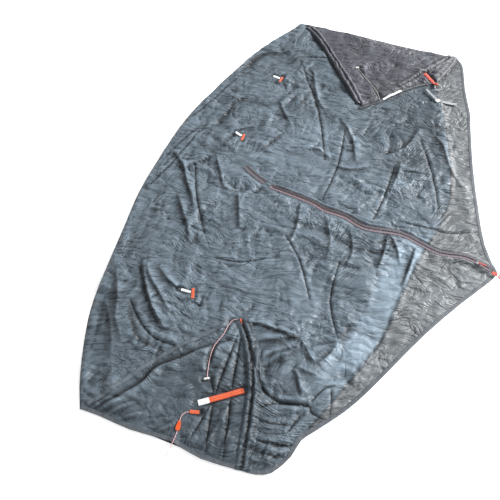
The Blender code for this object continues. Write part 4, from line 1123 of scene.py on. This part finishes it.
def webbing_material(name, colour, deep, weave_pitch, thread, rows, fade=None):
    """Flat woven webbing: a herringbone weave, shaded edges and its stitching.

    A fade turns the colour into another one between two distances along the webbing.
    """
    shader = Shader(name, roughness=0.62, Sheen_Weight=0.25, Sheen_Roughness=0.5)
    along = shader.attribute("along")
    across = shader.attribute("across")
    slant = shader.math("ABSOLUTE", across)
    weave = shader.wave(shader.math("ADD", along, slant), weave_pitch)
    cross_weave = shader.wave(across, weave_pitch * 0.6)
    height = shader.times(shader.span(weave, -1.0, 1.0),
                          shader.span(cross_weave, -1.0, 1.0, 0.4, 1.0))
    base = shader.mix(shader.span(height, 0.15, 0.75), deep, colour)
    if fade:
        start, end, far_colour = fade
        base = shader.mix(shader.span(along, start, end), base, far_colour)
    stain = shader.span(shader.noise(90.0, 3.0), 0.3, 0.7, 0.84, 1.08)
    edge = shader.span(shader.attribute("edge"), 0.80, 1.0, 1.0, 0.72)
    base = shader.tinted(base, shader.times(stain, edge))
    normal = shader.bump(height, 0.6, 0.0006)
    for place in rows:
        row = shader.stitches(across, along, place, 0.0008, 0.0036)
        base = shader.mix(row, base, thread)
        normal = shader.bump(row, 0.5, 0.0005, normal)
    shader.set("Base Color", base)
    if fade:
        ripple = shader.vector(shader.times(along, 70.0), shader.times(across, 40.0))
        normal = shader.bump(shader.noise(1.0, 3.0, 0.6, 0.0, ripple), 0.8, 0.0040, normal)
    shader.set("Normal", normal)
    shader.set("Roughness", shader.span(height, 0.0, 1.0, 0.70, 0.52))
    return shader.material


def solid_webbing_material(name, colour, deep):
    """The same weave for small solid loops, worked out from their place in space."""
    shader = Shader(name, roughness=0.62, Sheen_Weight=0.25, Sheen_Roughness=0.5)
    split = shader.node("SeparateXYZ")
    shader.feed(split.inputs[0], shader.place())
    one = shader.wave(shader.math("ADD", split.outputs[0], split.outputs[1]), WEAVE_PITCH)
    two = shader.wave(shader.math("SUBTRACT", split.outputs[0], split.outputs[2]), WEAVE_PITCH)
    height = shader.span(shader.times(one, two), -1.0, 1.0)
    stain = shader.span(shader.noise(120.0, 3.0), 0.3, 0.7, 0.80, 1.08)
    shader.set("Base Color", shader.tinted(shader.mix(height, deep, colour), stain))
    shader.set("Normal", shader.bump(height, 0.5, 0.0006))
    shader.set("Roughness", shader.span(height, 0.0, 1.0, 0.70, 0.55))
    return shader.material


def reflective_material(name):
    """White reflective tape: glass beads and a little dirt."""
    shader = Shader(name, roughness=0.34, Specular_IOR_Level=0.6, Coat_Weight=0.25,
                    Coat_Roughness=0.2)
    beads = shader.voronoi("F1", shader.place(), 2600.0)
    dirt = shader.span(shader.noise(130.0, 4.0, 0.6), 0.35, 0.70, 0.0, 1.0)
    shader.set("Base Color", shader.mix(dirt, (0.93, 0.93, 0.93), (0.70, 0.71, 0.73)))
    shader.set("Roughness", shader.span(dirt, 0.0, 1.0, 0.30, 0.46))
    normal = shader.bump(beads, 0.25, 0.0003)
    shader.set("Normal", shader.bump(shader.noise(300.0, 2.0), 0.2, 0.0008, normal))
    return shader.material


def metal_material(name):
    """Bright plated steel with fine scratches and dull spots."""
    shader = Shader(name, roughness=0.22, Metallic=1.0)
    scratches = shader.noise(900.0, 4.0, 0.7, 2.0)
    spots = shader.span(shader.noise(160.0, 3.0), 0.4, 0.7)
    shader.set("Base Color", shader.mix(spots, (0.86, 0.86, 0.88), (0.66, 0.67, 0.70)))
    shader.set("Roughness", shader.span(scratches, 0.3, 0.7, 0.16, 0.36))
    shader.set("Normal", shader.bump(scratches, 0.12, 0.0002))
    return shader.material


def plastic_material(name, colour, worn, roughness):
    """Moulded plastic: a fine texture, a slightly uneven colour and dulled patches."""
    shader = Shader(name, roughness=roughness, Specular_IOR_Level=0.5,
                    Subsurface_Weight=0.08, Subsurface_Scale=0.002)
    patches = shader.span(shader.noise(210.0, 4.0, 0.6), 0.35, 0.70)
    shader.set("Base Color", shader.mix(patches, colour, worn))
    shader.set("Roughness", shader.span(shader.noise(330.0, 3.0), 0.3, 0.7,
                                        roughness * 0.8, roughness * 1.3))
    shader.set("Normal", shader.bump(shader.noise(1500.0, 2.0), 0.15, 0.0003))
    return shader.material


def cord_material(name, colour, fleck, shade):
    """A thin braided cord: crossing strands, one of them in another colour."""
    shader = Shader(name, roughness=0.6, Sheen_Weight=0.2)
    along = shader.times(shader.attribute("along"), 420.0)
    around = shader.times(shader.attribute("around"), 3.0)
    one = shader.wave(shader.math("ADD", along, around), 1.0)
    two = shader.wave(shader.math("SUBTRACT", along, around), 1.0)
    braid = shader.span(shader.math("MAXIMUM", one, two), -0.4, 1.0)
    flecks = shader.span(shader.wave(shader.math("ADD", along, around), 4.0), 0.72, 0.90)
    base = shader.mix(braid, shade, colour)
    shader.set("Base Color", shader.mix(flecks, base, fleck))
    shader.set("Normal", shader.bump(braid, 0.6, 0.0004))
    return shader.material


def floor_material(name):
    """A plain white studio floor with a faint grain."""
    shader = Shader(name, roughness=0.9, Specular_IOR_Level=0.1)
    grain = shader.span(shader.noise(3.0, 3.0), 0.3, 0.7)
    shader.set("Base Color", shader.mix(grain, (0.93, 0.93, 0.93), (0.955, 0.955, 0.955)))
    shader.set("Normal", shader.bump(shader.noise(500.0, 2.0), 0.03, 0.0004))
    shader.set("Emission Color", (1.0, 1.0, 1.0, 1.0))
    shader.set("Emission Strength", FLOOR_GLOW)
    return shader.material


WEAVE_PITCH = 0.0022
CANOPY = cloth_material("canopy_nylon", (0.125, 0.160, 0.192), (0.172, 0.186, 0.197))
FLAP = cloth_material("flap_nylon", (0.098, 0.101, 0.120), (0.108, 0.112, 0.127))
REAR = cloth_material("rear_nylon", (0.120, 0.140, 0.165), (0.160, 0.175, 0.190))
HEM_CLOTH = hem_material("stitched_hem", (0.078, 0.092, 0.108), (0.150, 0.160, 0.175),
                   (-0.0035, 0.0035), 0.006)
# The flap's hems get this copy of the hem colour, painted darker as their shade.
SHADED_HEM_CLOTH = hem_material("shaded_hem", (0.036, 0.038, 0.046), (0.110, 0.115, 0.130),
                        (-0.0035, 0.0035), 0.006)
FELLED_CLOTH = hem_material("felled_seam", (0.095, 0.118, 0.140), (0.060, 0.068, 0.080),
                      (-0.0055, 0.0055), 0.008)
ORANGE = webbing_material("orange_webbing", (0.900, 0.125, 0.022), (0.560, 0.050, 0.010),
                          WEAVE_PITCH, (0.950, 0.300, 0.120), (-0.0032, 0.0032))
RED = webbing_material("red_webbing", (0.780, 0.075, 0.030), (0.420, 0.030, 0.016),
                       WEAVE_PITCH, (0.900, 0.220, 0.120), (-0.0060, 0.0060))
RED_LOOP = solid_webbing_material("red_loop_webbing", (0.780, 0.075, 0.030),
                                  (0.420, 0.030, 0.016))
TAIL_WEBBING = webbing_material("tail_webbing", (0.480, 0.495, 0.515), (0.290, 0.300, 0.318),
                                0.0020, (0.800, 0.810, 0.820), (-0.0055, 0.0055))
LADDER = solid_webbing_material("ladder_webbing", (0.400, 0.415, 0.430), (0.230, 0.240, 0.255))
PALE_TAPE = webbing_material("zipper_tape", (0.245, 0.165, 0.190), (0.150, 0.105, 0.125),
                            0.0018, (0.420, 0.200, 0.225), (-0.0095, 0.0095),
                            fade=(0.30, 0.50, (0.150, 0.125, 0.150)))
# The head half of the zipper tape is painted dark as the shadow of the cloth that overhangs it;
# further along it fades to a cloth colour.
SHADED_TAPE = webbing_material("shaded_zipper_tape", (0.030, 0.028, 0.035),
                               (0.018, 0.017, 0.022), 0.0018, (0.210, 0.080, 0.095),
                               (0.0095,), fade=(0.32, 0.52, (0.098, 0.100, 0.122)))
ZIP_TAPES = {"head": SHADED_TAPE, "foot": PALE_TAPE}
PATCH_CLOTH = hem_material("zipper_patch", (0.098, 0.104, 0.122), (0.300, 0.120, 0.140),
                     (-0.0090, 0.0000, 0.0090), 0.012)
REFLECTIVE = reflective_material("reflective_tape")
STEEL = metal_material("plated_steel")
COIL = plastic_material("zipper_coil_nylon", (0.050, 0.036, 0.044), (0.100, 0.062, 0.074), 0.45)
PALE_PLASTIC = plastic_material("pale_plastic", (0.880, 0.880, 0.860), (0.740, 0.735, 0.715), 0.42)
ORANGE_PLASTIC = plastic_material("orange_plastic", (0.900, 0.130, 0.025),
                                  (0.720, 0.085, 0.018), 0.34)
PALE_CORD = cord_material("pale_cord", (0.860, 0.640, 0.660), (0.780, 0.160, 0.130),
                          (0.560, 0.360, 0.380))
GREY_CORD = cord_material("grey_cord", (0.740, 0.720, 0.660), (0.420, 0.400, 0.360),
                          (0.430, 0.415, 0.375))


# ---------------------------------------------------------------- camera, floor and light


def make_camera():
    """Looks down from the foot of the cloth."""
    data = bpy.data.cameras.new("camera")
    data.lens = CAMERA_LENS
    data.sensor_width = SENSOR_WIDTH
    camera = bpy.data.objects.new("camera", data)
    camera.location = CAMERA_PLACE
    camera.rotation_euler = (math.radians(CAMERA_TILT), 0.0, 0.0)
    bpy.context.collection.objects.link(camera)
    bpy.context.scene.camera = camera


def make_floor():
    ticks = np.linspace(-FLOOR_REACH, FLOOR_REACH, 13)
    points = [(x, y, 0.0) for y in ticks for x in ticks]
    faces = [face[::-1] for face in grid_faces(len(ticks), len(ticks))]
    add_mesh("floor", points, faces, floor_material("studio_floor"))


def make_light(name, place, aim, size, power):
    data = bpy.data.lights.new(name, "AREA")
    data.shape = "RECTANGLE"
    data.size, data.size_y = size
    data.energy = power
    lamp = bpy.data.objects.new(name, data)
    lamp.location = place
    lamp.rotation_euler = (Vector(aim) - Vector(place)).to_track_quat("-Z", "Y").to_euler()
    bpy.context.collection.objects.link(lamp)


def make_lights():
    """A far key light from the right, two weak ones and a bright even surround."""
    make_light("key_light", (6.4, 2.8, 4.2), (0.0, 0.0, 0.0), (2.2, 2.2), 1350.0)
    make_light("side_light", (-2.8, 0.8, 1.8), (-0.1, 0.0, 0.0), (1.5, 1.5), 14.0)
    make_light("front_light", (0.0, -3.2, 3.2), (0.0, 0.0, 0.0), (3.0, 2.0), 24.0)
    world = bpy.data.worlds.new("studio")
    bpy.context.scene.world = world
    world.use_nodes = True
    background = world.node_tree.nodes["Background"]
    background.inputs["Color"].default_value = (0.97, 0.985, 1.0, 1.0)
    background.inputs["Strength"].default_value = WORLD_STRENGTH
    bpy.context.scene.view_settings.view_transform = "Standard"


# ---------------------------------------------------------------- cords


def cord(name, route, material, node, body):
    """A free cord along its route in the CAD, at its real length."""
    line = curve(route, 6)
    item = tube(name, line, CORD_RADIUS, material)
    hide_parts(node)
    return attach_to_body(item, body)


def toggle(name, place, angle, height, node, body):
    """A small moulded barrel with collars, a waist and rounded ends."""
    half = TOGGLE_LENGTH / 2
    side = [(0.20, 0.86), (0.45, 1.00), (0.66, 0.96), (0.72, 0.84), (0.80, 0.90), (0.90, 0.82),
            (0.98, 0.62), (1.00, 0.30)]
    profile = [(-reach, wide) for reach, wide in side[::-1]] + [(0.00, 0.80)] + side
    turn = Matrix.Translation((*place, height)) @ Matrix.Rotation(math.radians(angle), 4, "Z")
    sections = []
    for reach, wide in profile:
        ring = []
        for step in range(24):
            spin = 2 * math.pi * step / 24
            ring.append(tuple(turn @ Vector((reach * half, wide * TOGGLE_RADIUS * math.cos(spin),
                                             wide * TOGGLE_RADIUS * math.sin(spin)))))
        sections.append(np.array(ring))
    item = loft(name, sections, PALE_PLASTIC)
    item.data.set_sharp_from_angle(angle=math.radians(60))
    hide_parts(node)
    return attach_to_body(item, body)


def make_cords():
    foot_toggle = toggle("foot_cord_toggle", *FOOT_TOGGLE, ON_SKIN + TOGGLE_RADIUS,
                         "foot_toggle", "root")
    head_toggle = toggle("head_cord_toggle", *HEAD_TOGGLE, ON_FLAP + TOGGLE_RADIUS,
                         "head_toggle", "head_flap")
    cord("foot_tieback", FOOT_CORD, PALE_CORD, "foot_tieback_cord", "root")
    cord("head_tieback", HEAD_CORD, GREY_CORD, "head_tieback_cord", "head_flap")
    cord("foot_guy", GUY_CORD, PALE_CORD, "foot_guy_cord", "root")
    cord("head_corner_loop", CORNER_CORD, GREY_CORD, "head_corner_cord", "root")


# ---------------------------------------------------------------- panels


# Brighter and darker spots of the canopy: how much, where, half width and half height
TONE_SPOTS = [
    (0.14, (-0.02, 0.12), 0.27, 0.27),
    (0.10, (-0.10, -0.52), 0.24, 0.24),
    (-0.40, (0.46, 0.26), 0.17, 0.30),
    (-0.30, (-0.46, -0.86), 0.26, 0.15),
    (-0.46, (-0.33, -1.00), 0.17, 0.20),
    (-0.22, (0.12, -0.32), 0.22, 0.11),
    (0.16, (-0.04, -1.09), 0.13, 0.07),
]


def canopy_tone_and_shade(x, y):
    """Slow changes of brightness: darker towards the head and both sides, pale at the door, times
    the painted shade of the folds and a painted shadow beside the flap.
    """
    tone = 1.12 - 0.20 * smoothstep(y, -0.10, 0.85)
    tone = tone - 0.10 * (1 - smoothstep(x, -0.78, -0.42)) - 0.10 * smoothstep(x, 0.35, 0.70)
    for more, place, wide, high in TONE_SPOTS:
        tone = tone + more * blob(x, y, place, wide, high)
    inner = double_layer(x, y)
    band = smoothstep(inner, 0.004, 0.016) * (1 - smoothstep(inner, 0.070, 0.120))
    tone = tone + 0.80 * band * (1 - smoothstep(y, -0.38, -0.20)) * smoothstep(y, -0.98, -0.80)
    pale = (1 - smoothstep(inner, 0.010, 0.030)) * smoothstep(inner, -0.070, -0.020)
    tone = tone + 0.40 * pale * smoothstep(y, -0.10, 0.05) * (1 - smoothstep(y, 0.42, 0.60))
    # Painted shadow on the canopy along the outside of the flap's edge.
    beside_flap = measure(x, y, FLAP_EDGE)[0]
    shadow = np.where(inside(x, y, FLAP_OUTLINE), 1.0, 1 - 0.62 * np.exp(-beside_flap / 0.009))
    return tone * (1.0 + 0.20 * NOISES[10](x / 0.16, y / 0.16)) * fold_shades(x, y) * shadow


def flap_tone_and_shade(x, y):
    """The head flap with painted shade along its hem, its side and in the groove of its second roll.
    """
    tone = 0.96 - 0.62 * np.exp(-(measure(x, y, curve(FLAP_HEM, 2))[0] / 0.018) ** 2)
    tone = tone - 0.58 * np.exp(-(measure(x, y, curve(FLAP_SIDE, 2))[0] / 0.018) ** 2)
    second_roll = measure(x, y, SECOND_ROLL)[0]
    tone = tone - 0.50 * np.exp(-(second_roll / 0.007) ** 2)
    return tone * (1.0 + 0.26 * NOISES[10](x / 0.14 + 3.0, y / 0.14))


def make_panels():
    """All the panels, each with its outline."""
    seam = curve(END_SEAM, 2)
    gather = curve(GATHER_LINE, 2)
    canopy = join_lines(LEFT_LINE, [HEAD_TOP, HEAD_CORNER], curve(CANOPY_SIDE, 2),
                        HEAD_HINGE[::-1], FOOT_HINGE, curve(CANOPY_FOOT, 2), gather, seam)
    head_door = join_lines(HEAD_HINGE, curve(DOOR_SIDE, 2), ZIP_CURVE[::-1])
    foot_door = join_lines(FOOT_HINGE[::-1], ZIP_CURVE, curve(DOOR_HEM, 2))
    foot_end = join_lines(gather, seam, curve(END_HEM, 2))
    rear = join_lines(LEFT_LINE, [HEAD_TOP], REAR_LINE, curve(REAR_FOOT, 2))
    skin = (skin_height, CANOPY, canopy_tone_and_shade)
    made = {}
    for name, outline, (height, material, tone), body, node, step in (
            ("rear_wall_cloth", rear, (rear_height, REAR, flap_tone_and_shade), "root",
             "rear_wall_panel", REAR_STEP),
            ("canopy_cloth", canopy, skin, "root", "canopy_panel", MESH_STEP),
            ("foot_end_cloth", foot_end, skin, "root", "foot_end_panel", SMALL_STEP),
            ("door_head_cloth", head_door, skin, "door_head", "door_panel_head", SMALL_STEP),
            ("door_foot_cloth", foot_door, skin, "door_foot", "door_panel_foot", SMALL_STEP),
            ("head_flap_cloth", FLAP_OUTLINE, (flap_height, FLAP, flap_tone_and_shade), "head_flap",
             "head_flap_panel", SMALL_STEP)):
        item = cloth(name, outline, height, material, body, node, tone, step)
        made[name] = (item, outline)
    return made


# ---------------------------------------------------------------- hems, seams and zipper


def band_of_cloth(name, line, offsets, heights, painted_shading, material, body, node, base):
    """A gathered or rolled band: a row of heights across it, changed by wrinkles on the way, and a
    row of painted shade and highlight across it.
    """
    line = even(np.asarray(line, float), 0.0035)
    along = lengths_along(line)
    width = 25
    fine = np.linspace(offsets[0], offsets[-1], width)
    shape = np.interp(fine, offsets, heights)
    shade = np.interp(fine, offsets, painted_shading)
    shape = np.convolve(np.pad(shape, 2, mode="edge"), np.full(5, 0.2), mode="valid")
    x, y = places_beside(line, fine)
    swell = tapered(along / along[-1], 0.35)
    lump = 1 + 0.55 * NOISES[4](along / 0.060, along * 0 + 3.0)
    rise = (swell * lump)[:, None] * shape[None, :]
    slanted = NOISES[5](np.repeat(along, width) / 0.026 + np.tile(fine, len(line)) / 0.014,
                        np.tile(fine, len(line)) / 0.016)
    rim = np.tile(rounded_edge(np.minimum(fine - fine[0], fine[-1] - fine), 0.004), len(line))
    z = base(x, y) + 0.0006 + rise.ravel() * rim + 0.0026 * slanted * rim
    z = np.minimum(z, BAND_HIGHEST)
    faces = grid_faces(len(line), width)
    item = add_mesh(name, np.column_stack([x, y, z]), faces, material)
    nothing = np.zeros(len(x))
    store_for_cloth(item.data, np.ones(len(x)), nothing, hollows(item.data, z, 4) / 0.0010,
                    hollows(item.data, z, 20) / 0.0030, np.tile(shade, len(line)), nothing)
    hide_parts(node)
    return attach(item, body)


def make_hems():
    """The hems, the seams and the strip on the flap's hem, by their names."""
    inner = (-0.0004, 0.0124)
    outer = inner[::-1]
    skin = (skin_height, HEM, HEM_CLOTH)
    flap = (flap_height, HEM, SHADED_HEM_CLOTH)
    felled = [(-0.320, -0.6725)] + END_SEAM[1:-1] + [(-0.735, -0.944)]
    rows = (
        ("canopy_side_hem", curve(CANOPY_SIDE), inner, skin, "root", ["canopy_hem"], 0.0003),
        ("canopy_foot_hem", curve(CANOPY_FOOT), inner, skin, "root", [], 0.0003),
        ("door_head_side_hem", curve(DOOR_SIDE), inner, skin, "door_head", ["door_hem_head"],
         0.0003),
        ("door_foot_edge_hem", curve(DOOR_HEM), inner, skin, "door_foot", ["door_hem_foot"],
         0.0003),
        ("foot_end_edge_hem", curve(END_HEM), outer, skin, "root", ["foot_end_hem"], 0.0003),
        ("head_flap_edge_hem", curve(FLAP_HEM), outer, flap, "head_flap", ["head_flap_hem"],
         0.0003),
        ("head_side_edge_hem", curve(FLAP_SIDE), outer, flap, "head_flap", ["head_side_hem"],
         0.0003),
        ("rear_hem", REAR_LINE, (-0.0005, 0.0115), (rear_height, REAR_HEM, HEM_CLOTH), "root",
         ["rear_wall_hem"], 0.0),
        ("felled_seam", curve(felled), (0.008, 0.008), (skin_height, FELLED_SEAM, FELLED_CLOTH),
         "root", ["foot_felled_seam"], 0.0005),
    )
    made = {}
    for name, line, reach, looks, body, nodes, crown in rows:
        made[name] = ribbon(name, line, reach, *looks, body, nodes, "seam_tape", crown=crown)
    made["white_strip"] = ribbon("white_strip", curve(FLAP_STRIP), (0.004, 0.004), flap_height,
                                 STRIP, REFLECTIVE, "head_flap", ["head_reflective_strip"],
                                 "reflective", crown=0.0004)
    # The gather's row of tones is painted shade, darkest in the gap between its two folds.
    made["gather"] = band_of_cloth(
        "foot_gather", curve(GATHER_LINE[::-1], 4),
        (-0.019, -0.015, -0.010, -0.003, 0.001, 0.008, 0.016, 0.024, 0.030),
        (0.000, 0.003, 0.010, 0.007, -0.003, 0.013, 0.008, 0.004, 0.000),
        (0.80, 0.60, 0.90, 0.26, 0.08, 0.70, 0.62, 0.50, 0.80),
        CANOPY, "root", "foot_gather_seam", skin_height)
    # The roll's row of tones paints highlights on its two crests and shade in its groove and on its
    # left side.
    made["roll"] = band_of_cloth(
        "head_seam_roll_cloth", curve(SEAM_ROLL, 4),
        (-0.022, -0.016, -0.010, -0.004, 0.001, 0.006, 0.012, 0.018, 0.024),
        (-0.003, 0.007, 0.015, 0.011, 0.003, 0.010, 0.013, 0.006, 0.000),
        (0.30, 0.55, 1.55, 1.20, 0.30, 0.80, 1.50, 1.10, 0.90),
        FLAP, "head_flap", "head_seam_roll", flap_height)
    return made


TAPE_TRACK = curve([(-0.168, -0.0465)] + ZIP_LINE[2:-1] + [(0.596, -0.4545)])
COIL_TRACK = curve([(-0.160, -0.0525)] + ZIP_LINE[2:-1] + [(0.590, -0.4495)])
TOOTH_PITCH = 0.0030
TOOTH_HALF = 0.00095
TOOTH_OUTLINE = [(0.0002, 0.0000), (0.0002, 0.0008), (0.0008, 0.0014), (0.0016, 0.0016),
                 (0.0023, 0.0012), (0.0026, 0.0000)]


def make_teeth(name, side, body, node):
    """Nylon teeth on one tape, each a small rounded arch that reaches over the zip line."""
    line = even(COIL_TRACK, TOOTH_PITCH)
    aside = sweep(line) * side
    run = np.column_stack([aside[:, 1], -aside[:, 0]])
    low = ON_SKIN + 0.0010
    count = len(TOOTH_OUTLINE)
    points = []
    faces = []
    for index, centre in enumerate(line):
        start = len(points)
        for end in (-TOOTH_HALF, TOOTH_HALF):
            for reach, rise in TOOTH_OUTLINE:
                place = centre + aside[index] * reach + run[index] * (end + side * TOOTH_PITCH / 4)
                points.append((place[0], place[1], low + rise))
        faces += [tuple(start + corner for corner in face) for face in ring_faces(2, count)]
    item = add_mesh(name, points, faces, COIL)
    form = bmesh.new()
    form.from_mesh(item.data)
    bmesh.ops.recalc_face_normals(form, faces=form.faces)
    form.to_mesh(item.data)
    form.free()
    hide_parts(node)
    return attach(item, body)


def make_zipper():
    for half, reach, side in (("head", (0.0120, -0.0004), 1), ("foot", (-0.0004, 0.0120), -1)):
        body = "door_" + half
        ribbon("zipper_tape_%s_woven" % half, TAPE_TRACK, reach, skin_height, ZIP_TAPE,
               ZIP_TAPES[half], body, ["zipper_tape_" + half], "zipper_tape", step=0.003)
        make_teeth("zipper_teeth_" + half, side, body, "zipper_coil_" + half)
    line = curve(END_PATCH)
    ribbon("zipper_end_patch_cloth", line, (0.001, 0.012), skin_height, PATCH, PATCH_CLOTH,
           "root", ["zipper_end_patch"], "zipper_tape", crown=0.0004)
    ribbon("zipper_end_patch_fold", line, (0.012, -0.0015), skin_height, PATCH_FOLD,
           SHADED_TAPE, "root", [], "zipper_tape", crown=0.0006)


# ---------------------------------------------------------------- webbing and hardware


def strap(name, ends, side, widths, thick, material, body, node):
    """A flat strap in a vertical plane from one end to the other.

    The side is how far each point is from the first end, and its height.
    """
    start = np.array(ends[0])
    way = np.array(ends[1]) - start
    way = way / np.linalg.norm(way)
    path = np.array([(*(start + way * reach), height) for reach, height in side])
    run = np.gradient(path, axis=0)
    run /= np.linalg.norm(run, axis=1)[:, None]
    across = np.array((-way[1], way[0], 0.0))
    upward = np.cross(run, across)
    upward *= np.sign(upward[0, 2])
    along = lengths_along(path)
    widths = np.interp(along, np.linspace(0.0, along[-1], len(widths)), widths)
    shares = np.array((-1.0, -0.92, -0.5, 0.0, 0.5, 0.92, 1.0))
    rises = np.array((-0.25, 0.42, 0.5, 0.5, 0.5, 0.42, -0.25)) * thick
    sections = []
    for index, place in enumerate(path):
        row = place + across * (shares[:, None] * widths[index] / 2)
        rise = upward[index] * rises[:, None]
        sections.append(np.vstack([row + rise, (row - rise)[::-1]]))
    item = loft(name, sections, material)
    item.data.set_sharp_from_angle(angle=math.radians(70))
    double = np.concatenate([shares, shares[::-1]])
    set_attribute(item.data, "along", np.repeat(along, len(double)))
    set_attribute(item.data, "across", (double[None, :] * widths[:, None] / 2).ravel())
    set_attribute(item.data, "edge", np.tile(np.abs(double), len(path)))
    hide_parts(node)
    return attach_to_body(item, body)


def make_tabs():
    """The orange tabs that hold the tie-out loops, the foot tie-back and the foot guy."""
    tabs = [("tie_out_webbing_" + key, (*tie_out, TIE_OUT_LENGTH, TIE_OUT_WIDTH), TIE_OUT_TAB,
             "tie_out_tab_" + key) for key, tie_out in TIE_OUTS.items()]
    tabs += [("foot_tab_webbing", FOOT_TAB, FOOT_TABS, "foot_tab"),
             ("foot_corner_webbing", FOOT_CORNER_TAB, FOOT_TABS, "foot_corner_tab")]
    for name, (centre, turn, length, width), band, node in tabs:
        ribbon(name, tab_line(centre, turn, length), (width / 2, width / 2), skin_height, band,
               ORANGE, "root", [node], "orange_webbing", step=0.002, crown=0.0005)


def make_foot_strap():
    """The orange strap with a white sleeve over its far end."""
    ends = (STRAP_HINGE, STRAP_END)
    full = math.dist(*ends)
    low = ON_SKIN + 0.0011
    side = [(reach, low + 0.0005 * math.sin(reach / 0.013))
            for reach in np.linspace(0.0, full - STRAP_SLEEVE + 0.002, 30)]
    strap("foot_strap_webbing", ends, side, (WEBBING_WIDTH, WEBBING_WIDTH), WEBBING_THICK,
          ORANGE, "foot_strap", "foot_strap")
    side = [(reach, low + 0.0001) for reach in np.linspace(full - STRAP_SLEEVE, full, 12)]
    strap("foot_strap_sleeve", ends, side, (0.0185, 0.019, 0.0185), SLEEVE_THICK, REFLECTIVE,
          "foot_strap", "foot_strap_end")


def make_corner_webbing():
    """The red tab that turns round the ring, and the loose tail of the ladder strap."""
    full = math.dist(*CORNER_TAB)
    side = [(0.0, ON_FLAP + 0.0011), (0.040, ON_FLAP + 0.0014), (full - 0.026, ON_FLAP + 0.0013),
            (full - 0.018, ON_FLAP + 0.0022), (full - 0.010, 0.0210), (full - 0.006, 0.0255),
            (full, 0.0275), (full + 0.0042, 0.0240), (full + 0.0030, 0.0196),
            (full - 0.004, 0.0180), (full - 0.014, 0.0150)]
    strap("corner_tab_webbing", CORNER_TAB, curve(side, 4),
          (0.018, 0.018, 0.018, 0.018, 0.015, 0.012, 0.012, 0.012), WEBBING_THICK, RED,
          "head_flap", "corner_tab")
    side = [(reach, ON_FLAP + 0.0009 + 0.0004 * math.sin(reach / 0.009))
            for reach in np.linspace(0.0, math.dist(*STRAP_TAIL), 24)]
    strap("strap_tail_webbing", STRAP_TAIL, side, (0.015, 0.015, 0.0145), TAIL_THICK,
          TAIL_WEBBING, "strap_tail", "strap_tail")


def make_tip_webbing():
    """The red tab at the door's tip, which holds the stake loop."""
    way = np.array((0.870, -0.493))
    middle = np.array(DOOR_TIP) - way * 0.009 - np.array((-way[1], way[0])) * 0.0075
    ribbon("tip_webbing", (middle - way * 0.010, middle + way * 0.010), (0.007, 0.007),
           skin_height, TIP_TAB, RED, "door_foot", ["tip_tab"], "red_webbing", step=0.002)


KEPT_NODES = {
    "tie_out_loop_a": REFLECTIVE, "tie_out_loop_b": REFLECTIVE, "tie_out_loop_c": REFLECTIVE,
    "corner_ring": STEEL, "zipper_slider": STEEL, "zipper_pull": RED_LOOP,
    "stake_loop": RED_LOOP, "guy_tensioner": ORANGE_PLASTIC, "ladder_strap": LADDER,
    "ladder_buckle": PALE_PLASTIC,
}


def finish_kept_nodes():
    """New materials for the pieces that keep their solids."""
    for name, material in KEPT_NODES.items():
        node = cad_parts[name]
        node.data.materials.clear()
        node.data.materials.append(material)


make_camera()
make_cords()
panels = make_panels()
hem_pieces = make_hems()
make_zipper()
make_tabs()
make_foot_strap()
make_corner_webbing()
make_tip_webbing()
finish_kept_nodes()
make_floor()
make_lights()
